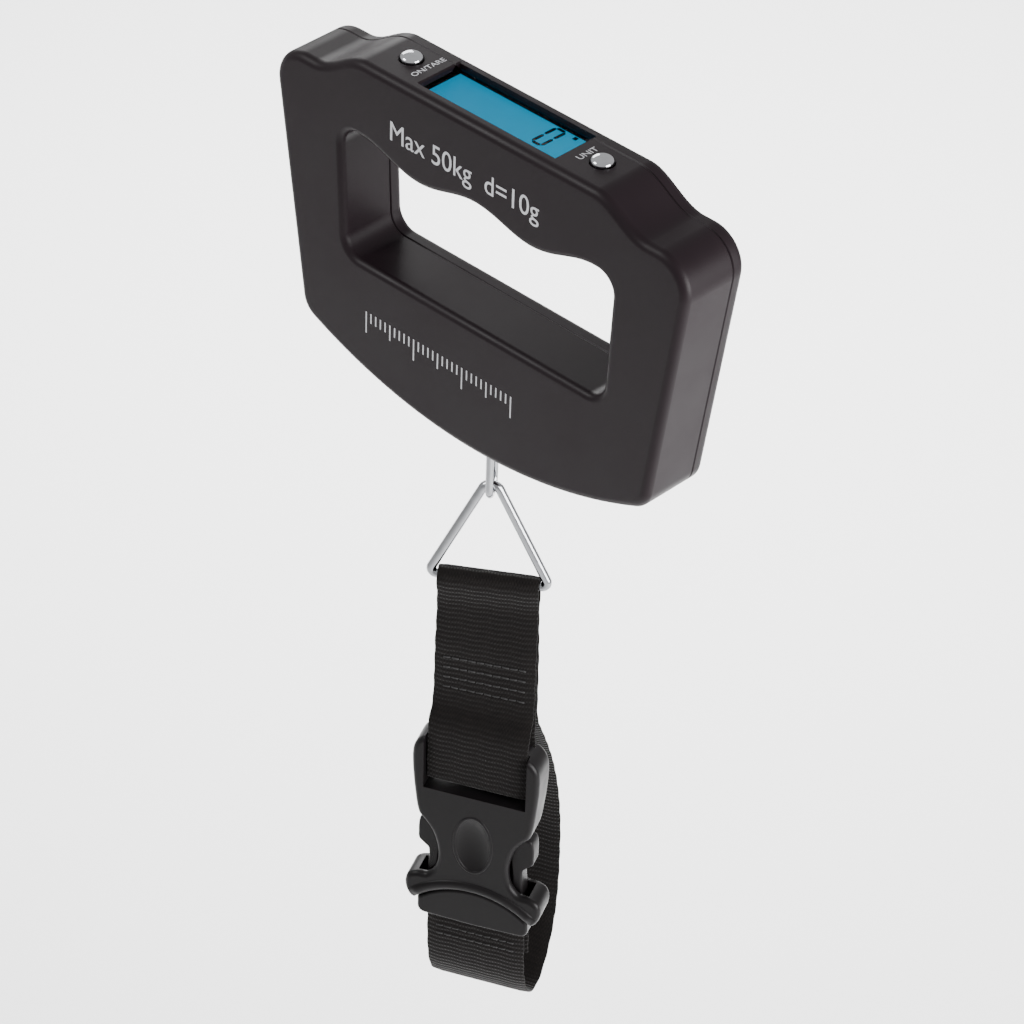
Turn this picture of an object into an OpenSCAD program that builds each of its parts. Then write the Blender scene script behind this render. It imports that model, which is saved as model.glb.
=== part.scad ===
// Digital luggage scale: a grip-through housing with a display on top, a swivel hanger
// below it, and a webbing loop that closes with a side-release buckle.
// Millimetres, +Z up, front face towards -Y. The origin is at the middle of the grip bar's
// underside, where the middle finger carries the load.

/* [Housing] */
// Overall width across the shoulders
body_w = 143; // [125:1:175]
// Thickness from front face to rear face
body_d = 21.5; // [20.5:0.5:27]
// Height of the flat top panel above the grip bar's underside
plateau_z = 23.2; // [22:0.2:28]
// Drop from the top panel to the shoulders
shoulder_drop = 7.2; // [4:0.2:9]
// Distance from each side to the foot of its shoulder curve
shoulder_inset = 13.5; // [12:0.5:18]
// Length of each shoulder curve
shoulder_run = 18; // [12:0.5:20]
// Depth of the chin's lowest point below the origin
chin_z = 75.5; // [74:0.5:90]
// Radius of the curved lower edge
chin_r = 142; // [120:1:180]
// Lean of each side, in degrees from vertical
side_lean = 8.3; // [4:0.1:9]
// Radius of the upper corners
top_corner_r = 10; // [5:0.5:11]
// Radius of the lower corners
low_corner_r = 7.5; // [5:0.5:10]
// Rounding of the front and rear edges
edge_r = 2.4; // [1.5:0.1:2.8]
// Wall thickness of both shells
wall = 2; // [1.6:0.1:2.2]
// Thickness of the shallow rear shell
rear_d = 4.5; // [4:0.1:5.5]

/* [Grip opening] */
// Width of the column on each side of the opening
column_w = 24.2; // [22:0.2:28]
// Depth of the opening's floor below the origin
grip_floor = 36.6; // [32:0.2:37]
// Height of each finger wave
finger_depth = 4.2; // [2:0.1:5]
// Rise of the outer finger waves above the middle one
finger_rise = 1.2; // [0:0.1:2]
// Radius of the opening's corners
grip_corner_r = 5.5; // [4:0.5:6]
// Rounding of the opening's edges
grip_edge_r = 2; // [1:0.1:2.4]

/* [Display and buttons] */
// Length of the display window
window_l = 47; // [38:0.5:50]
// Width of the display window
window_w = 14.6; // [12:0.2:15]
// Distance of the display behind the middle of the thickness
window_y = 0.6; // [0:0.1:1]
// Diameter of each chrome button
button_d = 6; // [5:0.2:7]
// Distance of each button from the middle
button_x = 33; // [32:0.5:35]
// Height of a button's crown above the panel
button_rise = 1.6; // [1:0.1:2]
// Travel of a button
button_travel = 0.8; // [0.4:0.1:0.9]

/* [Battery] */
// Diameter of the coin cell
cell_d = 20; // [20:0.1:20.5]
// Thickness of the coin cell
cell_t = 3.2; // [3:0.1:3.2]
// Distance of the coin cell from the middle
battery_x = 32; // [30:0.5:34]
// Depth of the coin cell's centre below the origin
battery_z = 54.3; // [53.5:0.1:55]

/* [Load cell] */
// Height and thickness of the load cell bar
bar_h = 12.7; // [10.5:0.1:12.8]
// Length of the load cell bar
bar_l = 55.2; // [52:0.1:56]
// Depth of the load cell's centre below the origin
bar_z = 57; // [56:0.1:58]
// Radius of the swivel stud's shank
stud_r = 2.5; // [2.2:0.1:3]

/* [Hanger] */
// Distance of the hanger to the right of the middle
hang_x = -1; // [-2:0.1:1]
// Turn of the hanger and its ring about the vertical, in degrees
hang_yaw = 34; // [0:1:180]
// Wire diameter of the hanger link
link_wire = 2; // [1.6:0.1:2.2]
// Length of the hanger link between its wire centres
link_l = 26.6; // [24:0.2:34]
// Wire diameter of the triangle ring
ring_wire = 2.6; // [2.2:0.1:2.8]
// Height of the triangle ring between its wire centres
ring_h = 31.7; // [26:0.1:38]

/* [Webbing] */
// Width of the webbing
strap_w = 29; // [25:0.5:30]
// Thickness of the webbing
strap_t = 1.3; // [1:0.1:1.4]
// Twist of the webbing between the ring and the buckle, in degrees
strap_twist = -9; // [-20:1:20]

/* [Buckle] */
// Width of each buckle wing beyond the webbing
wing_w = 5.5; // [5:0.1:7.5]
// Thickness of the buckle
buckle_t = 10; // [9.6:0.2:12]
// Pull of the catch until it is free of the socket
release_travel = 27; // [20:1:30]

/* [Hidden] */
$fn = 48;
gap = 0.1;                                  // clearance between pieces that seat on each other
front_y = -body_d / 2;
rear_y = body_d / 2;
part_y = rear_y - rear_d;                   // plane where the two shells meet
shoulder_z = plateau_z - shoulder_drop;
shoulder_x = body_w / 2 - shoulder_inset;
plateau_x = shoulder_x - shoulder_run;      // half length of the flat top panel
grip_w = body_w - 2 * column_w;
finger_pitch = grip_w / 2 - 6.3;            // spacing of the finger waves
column_x = body_w / 2 - 17.5;               // where wires run down inside each column

// ---- outlines: lists of [x, z] points, grown or shrunk without changing their count ----

corner_x = body_w / 2 - top_corner_r;
corner_z = shoulder_z - top_corner_r;
chin_centre = [0, chin_r - chin_z];
lean_out = [cos(side_lean), -sin(side_lean)];
lean_down = [-sin(side_lean), -cos(side_lean)];
low_start = [corner_x, corner_z] + (top_corner_r - low_corner_r) * lean_out - chin_centre;
low_b = low_start * lean_down;
low_c = low_start * low_start - pow(chin_r - low_corner_r, 2);
low_corner = chin_centre + low_start + (-low_b + sqrt(low_b * low_b - low_c)) * lean_down;
low_angle = atan2(low_corner[1] - chin_centre[1], low_corner[0] - chin_centre[0]);

function arc(c, r, a0, a1, n) =
    [for (i = [0:n]) let (a = a0 + (a1 - a0) * i / n) c + r * [cos(a), sin(a)]];
function both_sides(half) = concat(half, [for (i = [len(half) - 1:-1:0]) [-half[i][0], half[i][1]]]);

// The S-shaped step from the panel down to a shoulder, moved inwards by an inset
function step(inset, n = 10) = [
    for (i = [0:n])
        let (t = i / n,
             slope = -shoulder_drop * 90 * PI / 180 * sin(180 * t) / shoulder_run,
             normal = [-slope, 1] / norm([-slope, 1]))
        [plateau_x + shoulder_run * t, plateau_z - shoulder_drop * (1 - cos(180 * t)) / 2]
            - inset * normal
];
function body_outline(inset) = both_sides(concat(
    step(inset),
    arc([corner_x, corner_z], top_corner_r - inset, 90, -side_lean, 8),
    arc(low_corner, low_corner_r - inset, -side_lean, low_angle, 7),
    arc(chin_centre, chin_r - inset, low_angle, -89.6, 9)));

grip_lean = 2.8;
grip_x = grip_w / 2 - grip_corner_r;
grip_low_x = grip_x - tan(grip_lean) * (grip_floor - 2 * grip_corner_r + finger_rise);
function wave_z(x) = -finger_depth * (1 - cos(360 * x / finger_pitch)) / 2
    + finger_rise * (1 - cos(180 * x / finger_pitch)) / 2;
function wave(outset, n = 14) = [
    for (i = [0:n])
        let (x = 0.3 + (finger_pitch - 0.3) * i / n,
             slope = (wave_z(x + 0.1) - wave_z(x - 0.1)) / 0.2,
             normal = [-slope, 1] / norm([-slope, 1]))
        [x, wave_z(x)] + outset * normal
];
function grip_outline(outset) = both_sides(concat(
    wave(outset),
    arc([grip_x, wave_z(finger_pitch) - grip_corner_r], grip_corner_r + outset, 88, -grip_lean, 7),
    arc([grip_low_x, grip_corner_r - grip_floor], grip_corner_r + outset, -grip_lean, -90, 7)));

// ---- helpers ----

// Stands a flat [x, z] shape up between two depths
module slab(y0, y1) translate([0, y1, 0]) rotate([90, 0, 0]) linear_extrude(y1 - y0) children();
// Runs a flat [y, z] shape sideways, centred on x
module run(w) rotate([90, 0, 90]) linear_extrude(w, center = true) children();
module y_rod(r, y0, y1, x = 0, z = 0)
    translate([x, y1, z]) rotate([90, 0, 0]) cylinder(r = r, h = y1 - y0);
module x_rod(r, w, y = 0, z = 0) translate([-w / 2, y, z]) rotate([0, 90, 0]) cylinder(r = r, h = w);
module box(x0, x1, y0, y1, z0, z1) translate([x0, y0, z0]) cube([x1 - x0, y1 - y0, z1 - z0]);

// Skin through rings of equal count, each given as [y, points]
module loft(rings) {
    n = len(rings[0][1]);
    m = len(rings);
    points = [for (ring = rings) for (p = ring[1]) [p[0], ring[0], p[1]]];
    sides = [for (k = [0:m - 2]) for (i = [0:n - 1]) let (j = (i + 1) % n)
        each [[k * n + i, (k + 1) * n + i, (k + 1) * n + j], [k * n + i, (k + 1) * n + j, k * n + j]]];
    caps = [[for (i = [0:n - 1]) i], [for (i = [n - 1:-1:0]) (m - 1) * n + i]];
    polyhedron(points = points, faces = concat(sides, caps), convexity = 12);
}
// Trims a body square at two depths
module between(y0, y1) intersection() {
    children();
    box(-body_w, body_w, y0, y1, -2 * chin_z, 2 * plateau_z);
}
// Depth and inset pairs of a quarter-round edge that starts at depth y and runs inwards
function rounded(y, r, way) = [for (a = [0:30:90]) [y + way * r * (1 - cos(a)), r * (1 - sin(a))]];

function unit_2d(v) = v / norm(v);
function turn_at(pts, i) = unit_2d(pts[min(i + 1, len(pts) - 1)] - pts[max(i - 1, 0)]);
// Outline of a strip of thickness t that follows a line of points
function strip(pts, t) = concat(
    [for (i = [0:len(pts) - 1]) let (d = turn_at(pts, i)) pts[i] + t / 2 * [-d[1], d[0]]],
    [for (i = [len(pts) - 1:-1:0]) let (d = turn_at(pts, i)) pts[i] - t / 2 * [-d[1], d[0]]]);

// Round wire along a path of points in space
module wire(path, r, sides = 8) {
    n = len(path);
    function along(i) = let (v = path[min(i + 1, n - 1)] - path[max(i - 1, 0)]) v / norm(v);
    function across(i) = let (d = along(i), v = cross(d, [0.31, 0.92, 0.24])) v / norm(v);
    points = [for (i = [0:n - 1]) let (a = across(i), b = cross(along(i), a))
        for (k = [0:sides - 1]) path[i] + r * (cos(360 * k / sides) * a + sin(360 * k / sides) * b)];
    faces = [for (i = [0:n - 2]) for (k = [0:sides - 1]) let (q = (k + 1) % sides)
        each [[i * sides + k, i * sides + q, (i + 1) * sides + q],
              [i * sides + k, (i + 1) * sides + q, (i + 1) * sides + k]]];
    polyhedron(points = points, convexity = 8, faces = concat(faces,
        [[for (k = [sides - 1:-1:0]) k], [for (k = [0:sides - 1]) (n - 1) * sides + k]]));
}
// Bent round bar lying in the xz plane: centre, bend radius, wire radius, start and sweep
module bend(c, bend_r, r, from, sweep)
    translate([c[0], 0, c[1]]) rotate([90, 0, 0]) rotate([0, 0, from])
        rotate_extrude(angle = sweep) translate([bend_r, 0]) circle(r);
// Straight bar that runs a little way into whatever it joins
module rod(p, q, r, into = 0) {
    d = q - p;
    translate([p[0], 0, p[1]]) rotate([0, atan2(d[0], d[1]), 0])
        translate([0, 0, -into]) cylinder(r = r, h = norm(d) + 2 * into);
}
module hanging() translate([hang_x, 0, 0]) rotate([0, 0, hang_yaw]) children();
module strapped() translate([hang_x, 0, 0]) rotate([0, 0, hang_yaw + strap_twist]) children();

// ---- shells ----

screw_spots = [for (side = [1, -1]) each [[side * (body_w / 2 - 12.5), 5], [side * (body_w / 2 - 18), -43]]];
post_r = 3;
pilot_r = 0.9;
screw_head_r = 2.5;
screw_sink = 1.2;                           // depth of the pocket for each screw head
hanger_hole_r = 6;
cradle_gap = 0.15;

module grip_tunnel(y0, y1, flare_front) {
    edge = rounded(0, grip_edge_r, 1);
    rings = flare_front
        ? concat([[y0 - 1, grip_outline(grip_edge_r)]],
                 [for (e = edge) [y0 + e[0], grip_outline(e[1])]], [[y1 + 1, grip_outline(0)]])
        : concat([[y0 - 1, grip_outline(0)]],
                 [for (i = [len(edge) - 1:-1:0]) [y1 - edge[i][0], grip_outline(edge[i][1])]],
                 [[y1 + 1, grip_outline(grip_edge_r)]]);
    loft(rings);
}
// Space between the outer wall and the grip tunnel's wall, kept an inset away from both faces
module inside(inset, y0, y1) slab(y0, y1) difference() {
    polygon(body_outline(inset));
    polygon(grip_outline(inset));
}
module window_cut() translate([0, window_y, plateau_z - wall - 1])
    linear_extrude(wall + 2) square([window_l, window_w], center = true);
module button_holes() for (side = [-1, 1])
    translate([side * button_x, 0, plateau_z - wall - 1]) cylinder(r = button_d / 2 + 0.2, h = wall + 2);

module front_shell() color("#2b292b") difference() {
    union() {
        difference() {
            between(front_y, part_y) loft(concat([[front_y - 1, body_outline(edge_r)]],
                [for (e = rounded(front_y, edge_r, 1)) [e[0], body_outline(e[1])]],
                [[part_y + 1, body_outline(0)]]));
            inside(wall, front_y + wall, part_y + 1);
            grip_tunnel(front_y, part_y, true);
            window_cut();
            button_holes();
            translate([hang_x, 0, -chin_z - 2]) cylinder(r = hanger_hole_r, h = wall + 6);
        }
        intersection() {
            slab(front_y + wall - 0.5, part_y) polygon(body_outline(0.8));
            union() {
                for (s = screw_spots) y_rod(post_r, front_y, part_y, s[0], s[1]);
                cell_cradle();
                for (side = [-1, 1]) box(side * board_l / 2 - 2, side * board_l / 2 + 2,
                    front_y, board_w / 2 - 3, board_z - board_t - 3, board_z - board_t - gap);
            }
        }
    }
    for (s = screw_spots) y_rod(pilot_r, front_y + wall, part_y + 1, s[0], s[1]);
    for (side = [-1, 1]) translate([side * (board_l / 2 - 0.5), 0, board_z - board_t - 4])
        cylinder(r = 0.7, h = 6);
}
// Pocket that grips the fixed end of the load cell
module cell_cradle() difference() {
    box(bar_x0 - cradle_gap - wall, bar_x0 + 17, front_y, 3,
        -bar_z - bar_h / 2 - cradle_gap - wall, -bar_z + bar_h / 2 + cradle_gap + wall);
    box(bar_x0 - cradle_gap, bar_x0 + 20, front_y + wall, 4,
        -bar_z - bar_h / 2 - cradle_gap, -bar_z + bar_h / 2 + cradle_gap);
}

module rear_shell() color("#2b292b") difference() {
    union() {
        difference() {
            between(part_y + 0.05, rear_y) loft(concat([[part_y - 1, body_outline(0)]],
                [for (i = [3:-1:0]) let (e = rounded(rear_y, edge_r, -1)[i]) [e[0], body_outline(e[1])]],
                [[rear_y + 1, body_outline(edge_r)]]));
            inside(wall, part_y - 1, rear_y - wall);
            grip_tunnel(part_y, rear_y, false);
            window_cut();
        }
        for (s = screw_spots) y_rod(post_r, part_y + 0.1, rear_y - screw_sink, s[0], s[1]);
        intersection() {
            y_rod(well_r, well_y - wall / 2, rear_y - 0.5, battery_x, -battery_z);
            inside(wall + gap, 0, rear_y);
        }
    }
    for (s = screw_spots) {
        y_rod(pilot_r + 0.1, part_y - 1, rear_y + 1, s[0], s[1]);
        y_rod(screw_head_r + 0.2, rear_y - screw_sink, rear_y + 1, s[0], s[1]);
    }
    y_rod(cell_d / 2 + 0.4, well_y, rear_y + 1, battery_x, -battery_z);
    y_rod(cap_r + 0.25, rear_y - cap_sink - cap_t - gap, rear_y + 1, battery_x, -battery_z);
    y_rod(lug_r + 0.25, rear_y - cap_sink - cap_t - gap, lug_top + gap, battery_x, -battery_z);
    for (side = [0, 180]) translate([battery_x, 0, -battery_z]) rotate([0, side + cap_open, 0])
        box(0, lug_r + 0.25, lug_top - 1, rear_y + 1, -lug_w / 2 - 0.3, lug_w / 2 + 0.3);
    for (lead = lead_exits) y_rod(0.9, well_y - wall, well_y + 1, lead[0], lead[1]);
}

module case_screws() color("#8d9096") for (s = screw_spots) difference() {
    union() {
        y_rod(pilot_r - 0.05, -4, rear_y - screw_sink + 0.1, s[0], s[1]);
        y_rod(screw_head_r, rear_y - screw_sink + 0.05, rear_y - 0.2, s[0], s[1]);
    }
    for (a = [0, 90]) translate([s[0], rear_y - 0.8, s[1]]) rotate([0, a, 0])
        box(-1.5, 1.5, 0, 2, -0.3, 0.3);
}

// ---- display and board ----

lens_t = 1;
lcd_t = 1.8;
light_t = 2.4;
board_t = 1.2;
lens_z = plateau_z - wall - gap;            // top of the lens, glued below the panel
lcd_z = lens_z - lens_t - gap;
light_z = lcd_z - lcd_t - gap;
board_z = light_z - light_t - gap;
glass_w = min(window_w + 1.4, body_d - 2 * wall - 2 * window_y - 0.3);
glass_l = window_l + 2.4;
board_l = 2 * button_x + 16;
board_w = body_d - 2 * wall - 1;
switch_z = board_z + 2.2;

module plate(l, w, top, t, y = window_y) translate([-l / 2, y - w / 2, top - t]) cube([l, w, t]);

module window_lens() color("#9fd6ea", 0.4) plate(glass_l, glass_w, lens_z, lens_t);
module window_gasket() color("#202020") difference() {
    plate(glass_l, glass_w, lcd_z + gap / 2 + 0.02, 0.06);
    plate(window_l - 1, window_w - 1, lcd_z + 1, 2);
}
module lcd_panel() color("#129fc6") plate(glass_l, glass_w, lcd_z, lcd_t);
module backlight() color("white") plate(glass_l, glass_w - 5, light_z, light_t);
module zebra_strips() color("#d97ba0") for (side = [-1, 1])
    translate([0, side * (glass_w / 2 - 1.1), 0])
        plate(glass_l - 2, 1.8, light_z, light_t);
module main_board() color("#1f6b3a") difference() {
    plate(board_l, board_w, board_z, board_t, 0);
    for (side = [-1, 1]) translate([side * (board_l / 2 - 0.5), 0, board_z - 3])
        cylinder(r = 1, h = 4);
}
module controller_chip() color("#141414") translate([-10, 0, board_z - board_t - gap - 1.4])
    intersection() {
        translate([0, 0, 8.2]) sphere(r = 8.2);
        cylinder(r = 5, h = 1.4);
    }
module board_screws() color("#8d9096") for (side = [-1, 1])
    translate([side * (board_l / 2 - 0.5), 0, 0]) {
        translate([0, 0, board_z + gap]) cylinder(r = 1.6, h = 1);
        translate([0, 0, board_z - board_t - 2.5]) cylinder(r = 0.6, h = board_t + 2.7);
    }
module tact_switches() color("#3a3a3a") for (side = [-1, 1])
    translate([side * button_x - 3, -3, board_z + gap / 2]) cube([6, 6, switch_z - board_z - gap / 2]);

module button() {
    stem_z = switch_z + button_travel + 0.8;
    translate([0, 0, plateau_z + button_rise - 1.2]) intersection() {
        cylinder(r = button_d / 2, h = 1.2);
        translate([0, 0, 1.2 - button_d]) sphere(r = button_d);
    }
    translate([0, 0, stem_z]) cylinder(r = button_d / 2, h = plateau_z + button_rise - 1.1 - stem_z);
    translate([0, 0, plateau_z - wall - gap - 0.8]) cylinder(r = button_d / 2 + 1, h = 0.8);
}
// The plunger reaches the switch when the button is pressed, so it floats by the travel at rest
module plunger() translate([0, 0, switch_z + gap + button_travel]) cylinder(r = 1.5, h = 0.6);
module at_button(side) translate([side * button_x, 0, 0]) children();
module tare_button() color("#c9ccd0") at_button(-1) button();
module tare_plunger() color("#6b4a2a") at_button(-1) plunger();
module unit_button() color("#c9ccd0") at_button(1) button();
module unit_plunger() color("#6b4a2a") at_button(1) plunger();

// ---- load cell ----

bar_x0 = hang_x + stud_r + 3.4 - bar_l;      // fixed end
bar_top = -bar_z + bar_h / 2;
bar_low = -bar_z - bar_h / 2;
fix_x = [bar_x0 + 5, bar_x0 + 13];
flex_x = [bar_x0 + 24, bar_x0 + 34];

module load_cell() color("#b9bcc0") difference() {
    box(bar_x0, bar_x0 + bar_l, -bar_h / 2, bar_h / 2, bar_low, bar_top);
    for (x = fix_x) y_rod(2.15, -bar_h, bar_h, x, -bar_z);
    for (x = flex_x) y_rod(4.4, -bar_h, bar_h, x, -bar_z);
    box(flex_x[0], flex_x[1], -bar_h, bar_h, -bar_z - 1.5, -bar_z + 1.5);
    translate([hang_x, 0, bar_low - 1]) cylinder(r = stud_r + 0.08, h = bar_h + 2);
}
module strain_gauges() color("#e8e8e4") for (z = [bar_top + gap, bar_low - gap - 1])
    box(flex_x[0] - 2, flex_x[1] + 2, -4, 4, z, z + 1);
module cell_nut_plate() color("#8a8f95") difference() {
    box(fix_x[0] - 4, fix_x[1] + 4, front_y + wall + gap, -bar_h / 2 - gap, -bar_z - 5, -bar_z + 5);
    for (x = fix_x) y_rod(1.9, front_y, 0, x, -bar_z);
}
module cell_screws() color("#5f6368") for (x = fix_x) {
    y_rod(1.8, front_y + wall + 0.3, bar_h / 2 + 0.5, x, -bar_z);
    y_rod(3, bar_h / 2 + gap, bar_h / 2 + 2, x, -bar_z);
}
module thrust_washer() color("#caa24a") translate([hang_x, 0, bar_top + gap / 2]) difference() {
    cylinder(r = 5, h = 1);
    translate([0, 0, -1]) cylinder(r = stud_r + 0.1, h = 3);
}

wire_r = 0.8;
module sensor_wires() color("#b03030") wire([
    [flex_x[0] + 5, 2, bar_top + 2.1], [flex_x[0] + 1, 2, bar_top + 3], [4 - column_x + 10, 0, -45.5],
    [10 - column_x, -3, -43.5], [5 - column_x, -5, -40], [1.5 - column_x, -5.5, -33],
    [-column_x, -5.5, -22], [-column_x, -5.5, -8], [1.5 - column_x, -5.5, 3], [8 - column_x, -5.5, 8],
    [-38, -4.5, 9.5], [-34, -3, board_z - board_t - 1]
], wire_r);
lead_exits = [[battery_x + 6, -battery_z + 5], [battery_x + 3, -battery_z + 7]];
module battery_leads() {
    color("#b02020") wire([[lead_exits[0][0], well_y + 0.1, lead_exits[0][1]],
        [battery_x + 6.2, 1.5, -49], [40, -3, -46], [column_x - 7, -5.5, -40],
        [column_x - 1.5, -5.5, -32], [column_x, -5.5, -20], [column_x, -5.5, -6],
        [column_x - 2.5, -5.5, 4], [column_x - 8, -5.5, 8], [38, -4.8, 9.5],
        [34, -3, board_z - board_t - 1]], wire_r / 2);
    color("#202020") wire([[lead_exits[1][0], well_y + 0.1, lead_exits[1][1]],
        [battery_x + 3.2, 1.5, -47], [37, -3, -43.5], [column_x - 9, -7, -38.5],
        [column_x - 3.5, -7.2, -31], [column_x - 2, -7.2, -20], [column_x - 2, -7.2, -6],
        [column_x - 4.5, -7.2, 3], [column_x - 10, -7.2, 6.5], [36, -6, 8.5],
        [31, -3, board_z - board_t - 1]], wire_r / 2);
}

// ---- battery ----

cap_r = cell_d / 2 + 1.9;
cap_t = 1.8;
cap_sink = 0.3;                             // the cap lies this far below the rear face
cap_open = 60;                              // turn that brings the lugs to their entry slots
lug_r = cap_r + 1;
lug_w = 5;
lug_t = 0.8;
lug_top = rear_y - cap_sink - cap_t + lug_t;
well_r = cap_r + 2.5;
well_y = rear_y - cap_sink - cap_t - 0.5 - cell_t;

module battery_cap() color("#2b292b") difference() {
    union() {
        y_rod(cap_r, rear_y - cap_sink - cap_t, rear_y - cap_sink, battery_x, -battery_z);
        intersection() {
            y_rod(lug_r, rear_y - cap_sink - cap_t, lug_top, battery_x, -battery_z);
            box(battery_x - 20, battery_x + 20, 0, rear_y, -battery_z - lug_w / 2, -battery_z + lug_w / 2);
        }
    }
    box(battery_x - 7.5, battery_x + 7.5, rear_y - cap_sink - 0.9, rear_y,
        -battery_z - 0.9, -battery_z + 0.9);
}
module cap_seal() color("#1a1a1a") difference() {
    y_rod(cap_r - 0.3, rear_y - cap_sink - cap_t - 0.08, rear_y - cap_sink - cap_t - 0.01,
        battery_x, -battery_z);
    y_rod(cell_d / 2 + 0.5, 0, rear_y, battery_x, -battery_z);
}
module coin_cell() color("#d5d7da") {
    y_rod(cell_d / 2, well_y + 0.9, well_y + 0.35 + cell_t, battery_x, -battery_z);
    y_rod(cell_d / 2 - 1.4, well_y + 0.35, well_y + 0.9, battery_x, -battery_z);
}
module battery_contacts() color("#d8b25a") {
    box(battery_x - 6, battery_x + 7.2, well_y + 0.05, well_y + 0.3, -battery_z - 2, -battery_z + 2);
    intersection() {
        difference() {
            y_rod(cell_d / 2 + 0.35, well_y + 0.4, well_y + cell_t, battery_x, -battery_z);
            y_rod(cell_d / 2 + 0.05, 0, rear_y, battery_x, -battery_z);
        }
        box(battery_x - 4, battery_x + 4, 0, rear_y, -battery_z + 5, -battery_z + cell_d / 2 + 2);
    }
}

// ---- hanger ----

eye_z = bar_low - 5.2;
eye_r = link_wire / 2 + 0.6;
tang_t = 3;
link_bend = 3.8;
link_low = eye_z - link_l;                  // centre of the link's lowest wire
ring_top = link_low + (link_wire + ring_wire) / 2 + 0.25;
bar_wire_z = ring_top - ring_h;             // centre of the triangle's lower bar
nut_h = 3.2;

module swivel_stud() color("#c4c7cb") hanging() difference() {
    union() {
        translate([0, 0, eye_z + 1]) cylinder(r = stud_r, h = bar_top + 1.2 + nut_h + 1 - eye_z - 1);
        intersection() {
            hull() {
                y_rod(3.1, -tang_t / 2, tang_t / 2, 0, eye_z);
                y_rod(stud_r, -tang_t / 2, tang_t / 2, 0, bar_low - 1);
            }
            box(-4, 4, -tang_t / 2, tang_t / 2, eye_z - 4, bar_low - 0.4);
        }
    }
    y_rod(eye_r, -3, 3, 0, eye_z);
    for (side = [-1, 1]) box(-4, 4, side > 0 ? tang_t / 2 : -6, side > 0 ? 6 : -tang_t / 2,
        eye_z - 6, bar_low - 0.8);
}
module stud_nut() color("#8d9096") hanging() translate([0, 0, bar_top + 1.15]) difference() {
    cylinder(r = 4.6, h = nut_h, $fn = 6);
    translate([0, 0, -1]) cylinder(r = stud_r + 0.03, h = nut_h + 2);
}
module hanger_link() color("#c4c7cb") hanging() rotate([0, 0, 90]) {
    top_c = [0, eye_z - link_bend];
    low_c = [0, link_low + link_bend];
    bend(top_c, link_bend, link_wire / 2, 0, 180);
    bend(low_c, link_bend, link_wire / 2, 180, 180);
    for (side = [-1, 1]) rod([side * link_bend, low_c[1]], [side * link_bend, top_c[1]], link_wire / 2);
}

ring_bend = 2.6;
ring_low_bend = 1.6;
ring_foot = strap_w / 2 - 0.4;              // half length of the ring's straight lower bar
module triangle_ring() color("#c4c7cb") hanging() {
    r = ring_wire / 2;
    apex_c = [0, ring_top - ring_bend];
    low_c = [ring_foot, bar_wire_z + ring_low_bend];
    reach = low_c - apex_c;
    lean = atan2(reach[0], -reach[1]) + asin((ring_low_bend - ring_bend) / norm(reach));
    out = [cos(lean), sin(lean)];
    bend(apex_c, ring_bend, r, lean, 180 - 2 * lean);
    for (turn = [0, 180]) rotate([0, 0, turn]) {
        rod(low_c + ring_low_bend * out, apex_c + ring_bend * out, r - 0.02, 0.01);
        bend(low_c, ring_low_bend, r, -90, 90 + lean);
    }
    rod([-ring_foot, bar_wire_z], [ring_foot, bar_wire_z], r - 0.02, 0.01);
}

// ---- webbing: side profiles as [y, z] points, front strand towards -Y ----

ply_gap = 0.2;                              // space between webbing layers that lie on each other
fold_r = ring_wire / 2 + ply_gap + strap_t / 2;
layer = strap_t + ply_gap;
socket_top = -177;
socket_slot = -191.6;
strand_y = -5.3;                            // front layer where it crosses the socket's bar
split_z = -238;

fold_w = 2 * (ring_foot + 2.3 - ring_wire); // the ring's corners gather the webbing a little
rod_y = -1.1;                               // bar of the catch that the webbing folds over
rod_z = -238.9;
rod_r = 1;
rod_fold = rod_r + ply_gap + strap_t / 2;
stitch_z = [-151.5, -155, -158.5, -162];    // rows of thread through the three layers
upper_line = concat(
    [for (z = concat([-148.5], stitch_z, [-168])) [0, z]],
    [[0, -172], [0.4, -176.2], [0.4, socket_slot + 0.2], [0, socket_slot - 1.1],
     [-1.2, socket_slot - 1.7], [-3.6, socket_slot - 1.7], [-4.7, socket_slot - 1.3],
     [strand_y, socket_slot - 0.3], [strand_y, -176.2], [-4.4, -172], [-2.4, -168.6]],
    [for (i = [len(stitch_z) - 1:-1:0]) [-layer, stitch_z[i]]],
    [[-layer, -147], [-layer * 0.75, -142], [-layer / 2, -137], [-layer / 2, bar_wire_z - 8],
     [-fold_r, bar_wire_z - 1.5]],
    [for (a = [-90:18:90]) [0, bar_wire_z] + fold_r * [sin(a), cos(a)]],
    [[fold_r, bar_wire_z - 1.5], [layer / 2, bar_wire_z - 8], [layer / 2, -137],
     [layer * 0.75, -142], [layer, -147]],
    [for (z = stitch_z) [layer, z]],
    [[layer, -167], [3.4, -172.5], [8, -180], [13, -188.5], [18.2, -198.5], [22.4, -209],
     [25.4, -219.5], [27, -229.5], [27.4, split_z]]);
lower_line = concat(
    [[27.4, split_z - 0.3], [27.3, -248], [26, -257.5], [23.2, -265], [18.8, -271],
     [13.2, -274.8], [7.6, -274.6], [2.6, -270.8], [-0.9, -264.5], [-2.5, -256.5], [-2.9, -247]],
    [for (a = [-100:20:100]) [rod_y, rod_z] + rod_fold * [sin(a), cos(a)]],
    [[rod_y + rod_fold, -246], [rod_y + rod_fold + 0.4, -255]]);

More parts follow.
